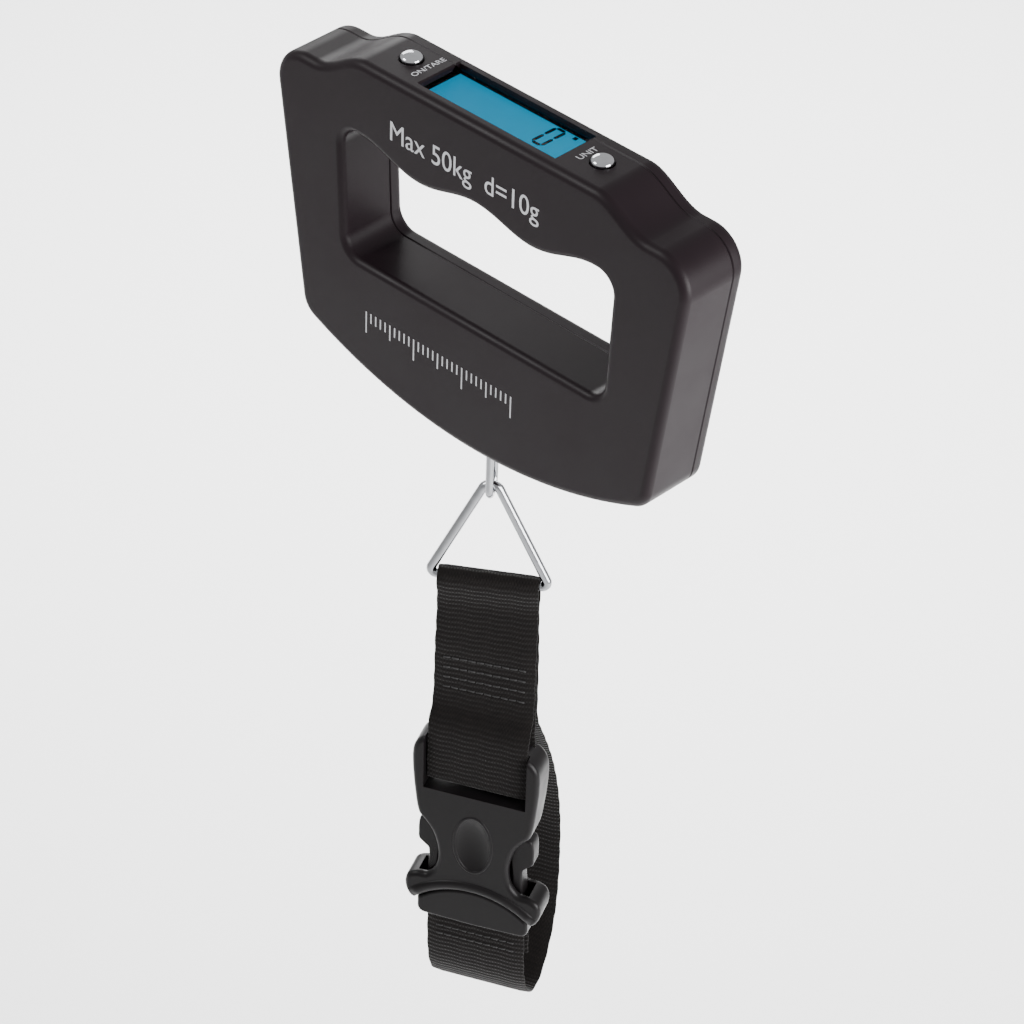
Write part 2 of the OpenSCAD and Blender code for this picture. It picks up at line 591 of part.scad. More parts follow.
// Band of webbing along a side profile, narrow at the ring and twisting towards the buckle
function ease(z) = min(1, max(0, (bar_wire_z - 6 - z) / 42));
module band(line, t) {
    n = len(line);
    function station(i) = let (z = line[i][1], w = fold_w + (strap_w - fold_w) * ease(z),
                               turn = strap_twist * ease(z), d = turn_at(line, i))
        [for (corner = [[-1, -1], [1, -1], [1, 1], [-1, 1]])
            let (x = corner[0] * w / 2, q = line[i] + corner[1] * t / 2 * [-d[1], d[0]])
            [x * cos(turn) - q[0] * sin(turn), x * sin(turn) + q[0] * cos(turn), q[1]]];
    points = [for (i = [0:n - 1]) each station(i)];
    sides = [for (i = [0:n - 2]) for (k = [0:3]) let (a = 4 * i + k, b = 4 * i + (k + 1) % 4)
        each [[a, b, b + 4], [a, b + 4, a + 4]]];
    polyhedron(points = points, convexity = 10,
        faces = concat([[3, 2, 1, 0]], sides, [[for (k = [0:3]) 4 * (n - 1) + k]]));
}
module webbing_upper() color("#1b1a1a") hanging() band(upper_line, strap_t);
module webbing_lower() color("#1b1a1a") strapped() run(strap_w) polygon(strip(lower_line, strap_t));

thread_h = 0.35;
module stitch_rows(rows, y) for (z = rows)
    box(-strap_w * 0.42, strap_w * 0.42, y - 0.08, y + 0.08, z - thread_h, z + thread_h);
// The rows follow the webbing's turn at their own height
module strap_stitching() color("#232222") hanging() for (z = stitch_z)
    rotate([0, 0, strap_twist * ease(z)]) for (side = [-1, 1])
        stitch_rows([z], side * (layer + strap_t / 2 + 0.22));
module tail_stitching() color("#232222") strapped() stitch_rows([-248.5, -251.5], -2.9 - strap_t / 2 - 0.25);

// ---- side-release buckle, drawn in its own front view ----

buckle_y = -2.5;                            // middle plane of the buckle
front_v = buckle_y - buckle_t / 2;
back_v = buckle_y + buckle_t / 2;
half_w = strap_w / 2 + wing_w;
mouth_z = -230;
mouth_r = half_w + 4;
plate_top = -195.4;                         // upper edge of the front plate, below the slot
arm_v = [buckle_y - 2.6, buckle_y + 2.6];
play = 0.4;                                 // clearance of the catch inside the socket
channel_half = strap_w / 2 + 0.4;
ear_x = half_w - 3;                         // reach of each arm's ear
wing_wall = ear_x - 0.6;                    // inner face of each wing, which the ear hooks behind

hollow_half = half_w - 5.3;                 // inner width that the arms slide in

module mouth(r) translate([0, mouth_z - mouth_r]) circle(r = r, $fn = 96);
module socket_outline() difference() {
    polygon(both_sides(concat(
        arc([half_w - 8.4, socket_top - 6.8], 6.8, 90, 0, 6),
        [[half_w - 1.7, -190], [half_w - 2.4, -198], [half_w - 3.6, -205.6], [half_w - 5.4, -207.4],
         [half_w - 7.6, -210.6], [half_w - 9, -214.6], [half_w - 9.6, -219.4], [half_w - 8.8, -224],
         [half_w - 6.4, -227.6], [half_w - 3, -227.4], [half_w - 0.8, -228.8], [half_w, -230.8],
         [half_w, -233.6], [half_w - 1.2, -236.4], [half_w - 3.6, -238.6]])));
    mouth(mouth_r);
}
module buckle_socket() color("#1d1c1d") strapped() difference() {
    slab(front_v, back_v) socket_outline();
    // webbing channels before and behind the bar, and the slot below it
    box(-channel_half, channel_half, front_v - 1, buckle_y - 2, plate_top, socket_top + 1);
    box(-channel_half, channel_half, buckle_y + 2, back_v + 1, plate_top, socket_top + 1);
    box(-channel_half, channel_half, front_v - 1, back_v + 1, plate_top, socket_slot);
    // hollow for the catch
    box(-wing_wall, wing_wall, arm_v[0] - play, arm_v[1] + play, -242, -226);
    box(-hollow_half, hollow_half, arm_v[0] - play, arm_v[1] + play, -227, -203);
    // thumb dimple
    for (z = [-207.6, -217]) y_rod(5.3, front_v - 1, front_v + 0.7, 0, z);
    box(-5.3, 5.3, front_v - 1, front_v + 0.7, -217, -207.6);
}
catch_half = half_w - 3.6;
catch_low = -242.4;
module buckle_catch() color("#1d1c1d") strapped() {
    difference() {
        slab(front_v + 0.6, back_v - 0.6) intersection() {
            polygon(both_sides([[catch_half, -228], [catch_half, catch_low + 2.2],
                [catch_half - 0.8, catch_low + 0.6], [catch_half - 2.6, catch_low], [0.1, catch_low - 0.4]]));
            mouth(mouth_r - play);
        }
        box(-channel_half, channel_half, buckle_y - 1.9, back_v + 1, -250, -236.1);
    }
    x_rod(rod_r, 2 * channel_half + 1, rod_y, rod_z);
    // neck and guide rail inside the socket
    slab(arm_v[0], arm_v[1]) polygon(both_sides([[ear_x - 2.6, -230.7], [ear_x - 2.6, -235.6]]));
    slab(buckle_y - 1.5, buckle_y + 1.5) polygon(both_sides([[1.8, -222], [2.6, -231]]));
}
// One springy arm with its ear, right-hand side
arm_line = [for (p = [[2.6, -230.1], [3, -226], [3.1, -219.6], [1.8, -218.2], [0.2, -216.6],
    [0, -214.6], [0.1, -210.6], [0.8, -208.4], [2.4, -207.6], [3.2, -206.4], [4.2, -204.6], [5.8, -203.8],
    [7.2, -204.6], [7.4, -208.4], [6.8, -215], [6.2, -222], [6, -230.1]]) [ear_x - p[0], p[1]]];
module arm() slab(arm_v[0], arm_v[1]) polygon(arm_line);
module catch_arm_right() color("#1d1c1d") strapped() arm();
module catch_arm_left() color("#1d1c1d") strapped() mirror([1, 0, 0]) arm();

front_shell();
rear_shell();
window_lens();
window_gasket();
lcd_panel();
backlight();
zebra_strips();
main_board();
controller_chip();
board_screws();
tact_switches();
tare_button();
tare_plunger();
unit_button();
unit_plunger();
load_cell();
strain_gauges();
cell_nut_plate();
cell_screws();
thrust_washer();
sensor_wires();
coin_cell();
battery_contacts();
battery_leads();
battery_cap();
cap_seal();
case_screws();
swivel_stud();
stud_nut();
hanger_link();
triangle_ring();
webbing_upper();
strap_stitching();
buckle_socket();
webbing_lower();
tail_stitching();
buckle_catch();
catch_arm_left();
catch_arm_right();
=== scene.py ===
# %% [markdown]
# # Digital luggage scale
# A hand lifts the scale by its grip bar, a webbing loop holds the suitcase, and a load cell
# in the housing weighs it. The engineering model gives every size and every moving body, so
# this lesson only adds the surfaces that the eye sees: moulded plastic, plated wire, woven
# webbing and a backlit display.
#
# The first cell loads that model. Each of its nodes already rides on the right body.

# %% Load the frame
from math import asin, atan2, cos, degrees, hypot, pi, radians, sin, sqrt, tan

import bpy
from mathutils import Matrix, Vector


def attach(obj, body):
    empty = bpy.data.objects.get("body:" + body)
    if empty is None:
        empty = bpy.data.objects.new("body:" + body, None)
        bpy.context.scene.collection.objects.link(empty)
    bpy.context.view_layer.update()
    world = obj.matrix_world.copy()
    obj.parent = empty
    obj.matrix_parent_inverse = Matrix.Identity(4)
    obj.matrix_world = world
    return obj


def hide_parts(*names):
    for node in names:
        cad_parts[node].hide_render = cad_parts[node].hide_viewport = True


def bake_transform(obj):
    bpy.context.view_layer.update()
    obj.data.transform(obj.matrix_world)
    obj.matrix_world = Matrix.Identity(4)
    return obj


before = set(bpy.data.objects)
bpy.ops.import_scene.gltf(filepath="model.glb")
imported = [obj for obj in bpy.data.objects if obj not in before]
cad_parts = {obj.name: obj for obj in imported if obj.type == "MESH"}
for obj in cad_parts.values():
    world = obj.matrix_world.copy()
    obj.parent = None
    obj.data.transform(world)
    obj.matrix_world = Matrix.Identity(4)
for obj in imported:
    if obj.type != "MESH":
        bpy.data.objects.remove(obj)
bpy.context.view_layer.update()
MM = 0.001

# %% [markdown]
# ## Camera
# A long lens from the right, in front and above keeps the grip's edges nearly parallel. The
# matrix is written out, because its three columns are what a camera is: the direction to the
# right of the picture, the direction up, and the direction back towards the photographer.

# %% Camera
RIGHT = (0.71427646, 0.69938644, 0.02584082)
UP = (-0.43592883, 0.41571754, 0.79821362)
BACK = (0.5475173, -0.58140996, 0.60181996)
EYE = (0.65208, -0.68540, 0.61192)
bpy.ops.object.camera_add(location=EYE)
camera = bpy.context.object
rows = [(RIGHT[i], UP[i], BACK[i], EYE[i]) for i in range(3)]
camera.matrix_world = Matrix(rows + [(0, 0, 0, 1)])
camera.data.sensor_width = 36
camera.data.lens = 158.16
camera.data.clip_end = 20
bpy.context.scene.camera = camera
print("lens:", camera.data.lens, "mm")

# %% [markdown]
# ## Floor and light
# The setting is a plain pale floor under soft light. The floor lies well below the loop, so
# that it shows no hard shadow. A wide panel at the right lights the narrow side of the
# housing, one at the left draws the highlight along the shoulder, and a weak one in front
# opens up the shadows. The fourth hangs behind and shines straight down on the floor, so that
# a black object stands against a bright ground without being bright itself.

# %% Colour and node helpers
def linear(code, alpha=1.0):
    """An sRGB hex colour as the linear numbers that shaders use."""
    parts = [int(code[i:i + 2], 16) / 255 for i in (1, 3, 5)]
    return [c / 12.92 if c <= 0.04045 else ((c + 0.055) / 1.055) ** 2.4 for c in parts] + [alpha]


def add(tree, kind, links=None, values=None, **settings):
    """Adds one node, with its settings, its socket values and its incoming links."""
    made = tree.nodes.new("ShaderNode" + kind)
    for key, value in settings.items():
        setattr(made, key, value)
    for key, value in (values or {}).items():
        made.inputs[key].default_value = value
    for key, source in (links or {}).items():
        tree.links.new(source, made.inputs[key])
    return made


def blank(name):
    """A new material with just its Principled shader."""
    made = bpy.data.materials.new(name)
    made.use_nodes = True
    return made, made.node_tree, made.node_tree.nodes["Principled BSDF"]


# %% Floor, panels and sky
FLOOR_Z = -0.62
bpy.ops.mesh.primitive_plane_add(size=14, location=(0, 0, FLOOR_Z))
floor = bpy.context.object
floor.name = "floor"
paper, tree, shader = blank("matt_white_paper")
shader.inputs["Base Color"].default_value = linear("#f6f6f6")
shader.inputs["Roughness"].default_value = 0.9
floor.data.materials.append(paper)

for name, place, size, power in (
    ("panel_right", (1.12, 0.15, 0.08), 0.8, 34),
    ("panel_left", (-0.95, 0.6, 0.34), 0.5, 4),
    ("panel_front", (-0.66, -0.72, 0.68), 0.5, 8),
    ("panel_back", (-0.6, 0.72, -0.02), 1.1, 27),
):
    bpy.ops.object.light_add(type="AREA", location=place)
    panel = bpy.context.object
    panel.name = name
    panel.data.size = size
    panel.data.energy = power
    target = (*place[:2], FLOOR_Z) if name == "panel_back" else (0, 0, -0.05)
    aim = Vector(target) - Vector(place)
    panel.rotation_euler = aim.to_track_quat("-Z", "Y").to_euler()
sky = bpy.data.worlds.new("soft_sky")
sky.use_nodes = True
sky.node_tree.nodes["Background"].inputs["Color"].default_value = linear("#ffffff")
sky.node_tree.nodes["Background"].inputs["Strength"].default_value = 0.7
bpy.context.scene.world = sky
print("floor at", FLOOR_Z, "m")

# %% [markdown]
# ## Tools of the bench
# Five small helpers do what the hands do again and again. `skin` takes a grid primitive and
# bends it round into a surface through rings of points. `prism` puts a circle primitive onto
# an outline, extrudes it and bevels its rims. `cut` takes one shape away from another, and
# `join` makes one piece of several. `dress` smooths the shading, gives the piece its finish
# and tells the frame where it rides.

# %% Selection and shading
def only(*objects):
    """Selects just these objects and makes the first one active."""
    for other in list(bpy.context.selected_objects):
        other.select_set(False)
    for chosen in objects:
        chosen.select_set(True)
    bpy.context.view_layer.objects.active = objects[0]


def edit(obj, *steps):
    """Runs edit mode steps on one object, each a function without arguments."""
    only(obj)
    bpy.ops.object.mode_set(mode="EDIT")
    for step in steps:
        step()
    bpy.ops.object.mode_set(mode="OBJECT")
    return obj


def select_all():
    bpy.ops.mesh.select_all(action="SELECT")


def outwards():
    select_all()
    bpy.ops.mesh.normals_make_consistent(inside=False)


def merge():
    select_all()
    bpy.ops.mesh.remove_doubles(threshold=2e-6)


def fill_ends():
    select_all()
    bpy.ops.mesh.fill_holes(sides=0)


def pick_edges(obj, test):
    """Selects the edges whose two ends pass a test in mm."""
    only(obj)
    bpy.ops.object.mode_set(mode="EDIT")
    bpy.ops.mesh.select_mode(type="EDGE")
    bpy.ops.mesh.select_all(action="DESELECT")
    bpy.ops.object.mode_set(mode="OBJECT")
    points = [v.co / MM for v in obj.data.vertices]
    for e in obj.data.edges:
        e.select = test(points[e.vertices[0]], points[e.vertices[1]])


def apply(obj, kind, **settings):
    """Adds a modifier, sets it and applies it at once."""
    only(obj)
    made = obj.modifiers.new(kind.lower(), kind)
    for key, value in settings.items():
        setattr(made, key, value)
    bpy.ops.object.modifier_apply(modifier=made.name)
    return obj


def join(name, *objects):
    only(*objects)
    if len(objects) > 1:
        bpy.ops.object.join()
    objects[0].name = objects[0].data.name = name
    return objects[0]


# %% Skins, prisms and cuts
def skin(name, rings, ends=True):
    """A grid primitive bent into a surface through rings of equal count, given in mm."""
    bpy.ops.mesh.primitive_grid_add(
        x_subdivisions=len(rings[0]), y_subdivisions=len(rings) - 1, size=MM, location=(0, 0, 0))
    made = bpy.context.object
    made.name = made.data.name = name
    flat = [c * MM for ring in rings for p in [*ring, ring[0]] for c in p]
    made.data.vertices.foreach_set("co", flat)
    made.data.update()
    return edit(made, merge, *([fill_ends] if ends else []), outwards)


def prism(name, outline, near, far, along="Y", edge=0.0, steps=4):
    """A circle primitive put onto an outline, extruded from near to far, its rims rounded."""
    def place(p, depth):
        return Vector((p[0], depth, p[1]) if along == "Y" else (p[0], p[1], depth)) * MM

    bpy.ops.mesh.primitive_circle_add(
        vertices=len(outline), radius=MM, fill_type="NGON", location=(0, 0, 0))
    made = bpy.context.object
    made.name = made.data.name = name
    for vertex, p in zip(made.data.vertices, outline):
        vertex.co = place(p, near)
    push = place((0, 0), far - near)
    edit(made, select_all, lambda: bpy.ops.mesh.extrude_region_move(
        TRANSFORM_OT_translate={"value": push}), outwards)
    if edge:
        axis = 1 if along == "Y" else 2
        pick_edges(made, lambda a, b: abs(a[axis] - b[axis]) < 1e-4)
        edit(made, lambda: bpy.ops.mesh.bevel(
            offset=edge * MM, segments=steps, profile=0.5, affect="EDGES",
            clamp_overlap=False), outwards)
    return made


def block(name, low, high, edge=0.0):
    """A rectangular prism between two corners in mm."""
    corners = [(low[0], low[2]), (high[0], low[2]), (high[0], high[2]), (low[0], high[2])]
    return prism(name, corners, low[1], high[1], edge=edge)


def cut(obj, *cutters):
    """Takes each cutter away from a piece."""
    for cutter in cutters:
        apply(obj, "BOOLEAN", operation="DIFFERENCE", solver="EXACT", object=cutter)
        bpy.data.objects.remove(cutter)
    return obj


def ring_of(r, z, x, count=48):
    """A level circle of points round x, in the middle of the housing's depth."""
    return [(x + r * cos(2 * pi * i / count), r * sin(2 * pi * i / count), z) for i in range(count)]


def dress(obj, material, body, slot, *nodes, sharp=35):
    """Shades a finished piece, gives it its material and tells the frame where it belongs."""
    only(obj)
    bpy.ops.object.shade_smooth_by_angle(angle=radians(sharp))
    apply(obj, "WEIGHTED_NORMAL", keep_sharp=True)
    obj.data.materials.clear()
    obj.data.materials.append(material)
    if body:
        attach(obj, body)
    if nodes:
        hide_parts(*nodes)
    size = [round(d / MM, 1) for d in obj.dimensions]
    print(obj.name, len(obj.data.polygons), "faces,", size, "mm")
    return obj


# %% [markdown]
# ## Finishes
# Nearly everything here is one of three things. Moulded ABS and nylon take the fine spark
# texture of their steel mould, so they are satin rather than glossy, and a handled part has
# faint uneven patches. Their specular level is low, because the grain scatters most of what
# a smooth surface would mirror. Plated and drawn metal is smooth with a very slight waviness.
# Woven polypropylene is a regular cloth, made with its strap further down. The first two are
# one function each, and the pieces differ only in colour, gloss and grain size.

# %% Moulded and metal finishes
PATCHY = {"From Min": 0.3, "From Max": 0.7}  # the middle of a noise's range, where it mostly lies


def moulded(name, colour, roughness, grain=0.35, depth=0.012, patch=18, level=0.14):
    """Moulded plastic: grain and depth of its spark texture and size of its patches, in mm."""
    made, tree, shader = blank(name)
    place = add(tree, "TexCoord").outputs["Object"]
    fine = add(tree, "TexNoise", {"Vector": place}, {"Scale": 1 / (grain * MM), "Detail": 2.0})
    broad = add(tree, "TexNoise", {"Vector": place}, {"Scale": 1 / (patch * MM), "Detail": 3.0})
    gloss = add(tree, "MapRange", {"Value": broad.outputs["Fac"]},
                {**PATCHY, "To Min": roughness - 0.07, "To Max": roughness + 0.07})
    shade = add(tree, "MapRange", {"Value": broad.outputs["Fac"]},
                {**PATCHY, "To Min": 0.9, "To Max": 1.12})
    tint = add(tree, "HueSaturation", {"Value": shade.outputs["Result"]}, {"Color": linear(colour)})
    relief = add(tree, "Bump", {"Height": fine.outputs["Fac"]},
                 {"Strength": 0.6, "Distance": depth * MM})
    tree.links.new(tint.outputs["Color"], shader.inputs["Base Color"])
    tree.links.new(gloss.outputs["Result"], shader.inputs["Roughness"])
    tree.links.new(relief.outputs["Normal"], shader.inputs["Normal"])
    shader.inputs["IOR"].default_value = 1.53
    shader.inputs["Specular IOR Level"].default_value = level
    return made


def metal(name, colour, roughness, line=0.12, depth=0.002):
    """Drawn, turned or plated metal: line in mm between its faint marks."""
    made, tree, shader = blank(name)
    place = add(tree, "TexCoord").outputs["Object"]
    marks = add(tree, "TexNoise", {"Vector": place}, {"Scale": 1 / (line * MM), "Detail": 2.0})
    stain = add(tree, "TexNoise", {"Vector": place}, {"Scale": 1 / (4 * MM), "Detail": 2.0})
    gloss = add(tree, "MapRange", {"Value": stain.outputs["Fac"]},
                {**PATCHY, "To Min": roughness, "To Max": roughness + 0.05})
    shade = add(tree, "MapRange", {"Value": stain.outputs["Fac"]},
                {**PATCHY, "To Min": 0.88, "To Max": 1.05})
    tint = add(tree, "HueSaturation", {"Value": shade.outputs["Result"]}, {"Color": linear(colour)})
    relief = add(tree, "Bump", {"Height": marks.outputs["Fac"]},
                 {"Strength": 0.4, "Distance": depth * MM})
    tree.links.new(tint.outputs["Color"], shader.inputs["Base Color"])
    tree.links.new(gloss.outputs["Result"], shader.inputs["Roughness"])
    tree.links.new(relief.outputs["Normal"], shader.inputs["Normal"])
    shader.inputs["Metallic"].default_value = 1.0
    return made


# Charcoal ABS with the satin of a fine spark texture
charcoal_abs = moulded("charcoal_satin_abs", "#181014", 0.42, patch=26)
# Glass-filled nylon of the buckle: a little glossier, with a coarser grain
buckle_nylon = moulded("black_buckle_nylon", "#0e0c0d", 0.38, grain=0.5, depth=0.016, patch=9)
chrome = metal("bright_chrome_plate", "#c4c5c8", 0.05)
ring_steel = metal("polished_steel_wire", "#a6a7aa", 0.12, line=0.3, depth=0.004)
zinc_steel = metal("zinc_plated_steel", "#b5b8bd", 0.3)
legend_ink = moulded("pale_grey_pad_print", "#c4c4c8", 0.5, grain=0.2, depth=0.004)
print("finishes:", len(bpy.data.materials))

# %% [markdown]
# ## Housing
# The housing is two moulded shells with a grip hole through both. Seen from the front it is an
# outline with a flat panel on top, an S-shaped step down to each shoulder, leaning sides and a
# long curved chin. A designer would draw that outline once and offset it, so the helpers below
# return the outline moved inwards by any distance, always with as many points. A skin through
# offsets at successive depths then gives the rounded front edge, with no bevel to go wrong.

# %% Outlines
BODY_W, FRONT_Y, REAR_Y, PART_Y = 143, -10.75, 10.75, 6.25
PLATEAU_Z, DROP, STEP_RUN = 23.2, 7.2, 18
SHOULDER_Z = PLATEAU_Z - DROP
SHOULDER_X = BODY_W / 2 - 13.5
PLATEAU_X = SHOULDER_X - STEP_RUN
CHIN_Z, CHIN_R, LEAN, TOP_R, LOW_R = 75.5, 142, 8.3, 10, 7.5
GRIP_W, GRIP_FLOOR, WAVE, RISE, GRIP_R, GRIP_LEAN = 94.6, 36.6, 4.2, 1.2, 5.5, 2.8
PITCH = GRIP_W / 2 - 6.3


def arc(centre, r, start, end, count):
    """Points on an arc, angles in degrees."""
    return [(centre[0] + r * cos(radians(start + (end - start) * i / count)),
             centre[1] + r * sin(radians(start + (end - start) * i / count))) for i in range(count + 1)]


def mirrored(half):
    return half + [(-x, z) for x, z in reversed(half)]


def moved(x, z, slope, distance):
    """A point on a curve of that slope, moved along the curve's upward normal."""
    n = hypot(slope, 1)
    return (x - slope / n * distance, z + distance / n)


def step_down(inset, count=28):
    points = []
    for i in range(count + 1):
        t = i / count
        slope = -DROP * pi / 2 * sin(pi * t) / STEP_RUN
        points.append(moved(PLATEAU_X + STEP_RUN * t, PLATEAU_Z - DROP * (1 - cos(pi * t)) / 2,
                            slope, -inset))
    return points


corner = (BODY_W / 2 - TOP_R, SHOULDER_Z - TOP_R)
chin = (0, CHIN_R - CHIN_Z)
out_x, out_z = cos(radians(LEAN)), -sin(radians(LEAN))
from_chin = (corner[0] + (TOP_R - LOW_R) * out_x - chin[0],
             corner[1] + (TOP_R - LOW_R) * out_z - chin[1])
along = from_chin[0] * out_z - from_chin[1] * out_x
reach = -along + sqrt(along ** 2 - from_chin[0] ** 2 - from_chin[1] ** 2 + (CHIN_R - LOW_R) ** 2)
low_corner = (chin[0] + from_chin[0] + reach * out_z, chin[1] + from_chin[1] - reach * out_x)
low_angle = degrees(atan2(low_corner[1] - chin[1], low_corner[0] - chin[0]))


def body_outline(inset):
    return mirrored(step_down(inset) + arc(corner, TOP_R - inset, 90, -LEAN, 18)
                    + arc(low_corner, LOW_R - inset, -LEAN, low_angle, 14)
                    + arc(chin, CHIN_R - inset, low_angle, -89.6, 30))


def wave_z(x):
    return -WAVE * (1 - cos(2 * pi * x / PITCH)) / 2 + RISE * (1 - cos(pi * x / PITCH)) / 2


def grip_outline(outset, count=44):
    waves = []
    for i in range(count + 1):
        x = 0.3 + (PITCH - 0.3) * i / count
        waves.append(moved(x, wave_z(x), (wave_z(x + 0.1) - wave_z(x - 0.1)) / 0.2, outset))
    upper = (GRIP_W / 2 - GRIP_R, wave_z(PITCH) - GRIP_R)
    lower = (upper[0] - tan(radians(GRIP_LEAN)) * (GRIP_FLOOR - 2 * GRIP_R + RISE), GRIP_R - GRIP_FLOOR)
    return mirrored(waves + arc(upper, GRIP_R + outset, 88, -GRIP_LEAN, 14)
                    + arc(lower, GRIP_R + outset, -GRIP_LEAN, -90, 14))


print("low corner at", [round(c, 2) for c in low_corner])
print("points:", len(body_outline(0)), len(grip_outline(0)))

# %% [markdown]
# Each shell is an outer skin, a skin for the grip tunnel and a flat face that joins the two at
# the front or the back. The plane where the shells meet gets a small chamfer on both sides,
# which together make the thin shadow line that runs round the real housing. Solidify then
# gives the wall its thickness, and booleans cut the window, the button holes and the screw
# pockets, as the core pins of the mould would.

# %% Shells
EDGE_R, GRIP_EDGE_R, SEAM, WALL = 2.4, 2.0, 0.3, 1.8
WINDOW_L, WINDOW_W, WINDOW_Y = 47, 14.6, 0.6
BUTTON_X, HANG_X = 33, -1
BUTTON_HOLE = ((3.2, 18), (3.2, PLATEAU_Z - 0.25), (3.9, PLATEAU_Z + 0.45))  # radius, height
HANGER_HOLE = ((7.0, -80), (6.0, -75), (6.0, -70))


def ring_at(outline, y):
    return [(x, y, z) for x, z in outline]


def shell(name, face_y, seam_y, steps=8):
    """One half of the housing, from its flat face to the plane where the halves meet."""
    way = 1 if seam_y > face_y else -1
    curve = [radians(90 * i / steps) for i in range(steps + 1)]
    outer = [ring_at(body_outline(EDGE_R * (1 - sin(a))), face_y + way * EDGE_R * (1 - cos(a)))
             for a in curve]
    outer += [ring_at(body_outline(0), seam_y - way * SEAM), ring_at(body_outline(SEAM), seam_y)]
    inner = [ring_at(grip_outline(GRIP_EDGE_R * (1 - sin(a))),
                     face_y + way * GRIP_EDGE_R * (1 - cos(a))) for a in curve]
    inner += [ring_at(grip_outline(0), seam_y - way * SEAM), ring_at(grip_outline(SEAM), seam_y)]
    made = join(name, skin("outer", outer, ends=False), skin("inner", inner, ends=False))
    pick_edges(made, lambda a, b: abs(a.y - face_y) < 1e-4 and abs(b.y - face_y) < 1e-4)
    edit(made, lambda: bpy.ops.mesh.fill(use_beauty=True), outwards)
    flat = max(made.data.polygons, key=lambda p: p.area)
    if flat.normal.y * way > 0:
        edit(made, select_all, lambda: bpy.ops.mesh.flip_normals())
    return apply(made, "SOLIDIFY", thickness=WALL * MM, offset=-1)


def window_cutter():
    """The display window, with a chamfer where it comes through the panel."""
    rings = []
    for z, grow in ((18, 0), (PLATEAU_Z - 0.4, 0), (PLATEAU_Z + 0.6, 1.0)):
        x, y = WINDOW_L / 2 + grow, WINDOW_W / 2 + grow
        low, high = WINDOW_Y - y, WINDOW_Y + y
        rings.append([(-x, low, z), (x, low, z), (x, high, z), (-x, high, z)])
    return skin("window_cutter", rings)


front = shell("housing_front", FRONT_Y, PART_Y)
cut(front, window_cutter(), *[
    skin("hole", [ring_of(r, z, x) for r, z in BUTTON_HOLE]) for x in (-BUTTON_X, BUTTON_X)])
cut(front, skin("hanger_hole", [ring_of(r, z, HANG_X) for r, z in HANGER_HOLE]))
dress(front, charcoal_abs, "housing", "shell_plastic", "front_shell", sharp=32)

SCREWS = [(59, 5), (-59, 5), (53.5, -43), (-53.5, -43)]
CELL = (32, -54.3)
SCREW_POCKET = ((2.7, 9.55), (2.7, 10.5), (3.3, 11.1))  # radius, depth
CELL_RECESS = ((12.15, 5), (12.15, 10.45), (12.9, 11.2))


def turned(name, profile, centre):
    """A turned shape about an axis that runs along Y: profile is radius and depth pairs."""
    return skin(name, [[(centre[0] + r * cos(2 * pi * i / 64), y, centre[1] + r * sin(2 * pi * i / 64))
                        for i in range(64)] for r, y in profile])


rear = shell("housing_rear", REAR_Y, PART_Y + 0.05)
cut(rear, window_cutter())
cut(rear, *[turned("pocket", SCREW_POCKET, spot) for spot in SCREWS])
cut(rear, turned("battery_recess", CELL_RECESS, CELL))
dress(rear, charcoal_abs, "housing", "shell_plastic", "rear_shell", sharp=32)

# %% [markdown]
# ## Buttons
# The two keys are chrome-plated domes that stand a little proud of the panel. A plated key is
# turned or moulded with a soft crown, so a profile of radius and height is spun into rings.
# Both are the same part, so the second is a copy with its own mesh.

# %% Buttons
BUTTON_R, FLANGE_R, BRIM, CROWN = 3.0, 4.0, PLATEAU_Z + 0.25, PLATEAU_Z + 1.6
profile = [(0, 18.7), (BUTTON_R, 18.7), (BUTTON_R, 20.3), (FLANGE_R, 20.3), (FLANGE_R, 21.05),
           (BUTTON_R, 21.05), (BUTTON_R, BRIM)]
profile += [(BUTTON_R * cos(radians(a)) ** 0.6, BRIM + (CROWN - BRIM) * sin(radians(a)))
            for a in range(10, 90, 8)] + [(0, CROWN)]
tare = skin("button_tare", [ring_of(r, z, -BUTTON_X) for r, z in profile], ends=False)
unit = tare.copy()
unit.data = tare.data.copy()
bpy.context.scene.collection.objects.link(unit)
unit.name = unit.data.name = "button_unit"
unit.data.transform(Matrix.Translation((2 * BUTTON_X * MM, 0, 0)))
dress(tare, chrome, "tare_button", "chrome_plate", "tare_button", sharp=50)
dress(unit, chrome, "unit_button", "chrome_plate", "unit_button", sharp=50)

# %% [markdown]
# ## Display
# Behind a clear window lies a liquid crystal panel lit from behind. A lit panel is a blue
# light source with dark bars in front, so its finish glows, a little brighter towards the end
# where the diodes sit. The window mirrors almost nothing, like one with an anti-glare coat,
# and an index close to that of air stands for the coat. The digit that is on is made of thin
# bars with mitred ends, as on every seven-segment display.

# %% Glass, panel and digits
window_pc, tree, shader = blank("clear_polycarbonate_window")
shader.inputs["Base Color"].default_value = linear("#ffffff")
shader.inputs["Roughness"].default_value = 0.04
shader.inputs["IOR"].default_value = 1.05
shader.inputs["Specular IOR Level"].default_value = 0.2
shader.inputs["Transmission Weight"].default_value = 1.0

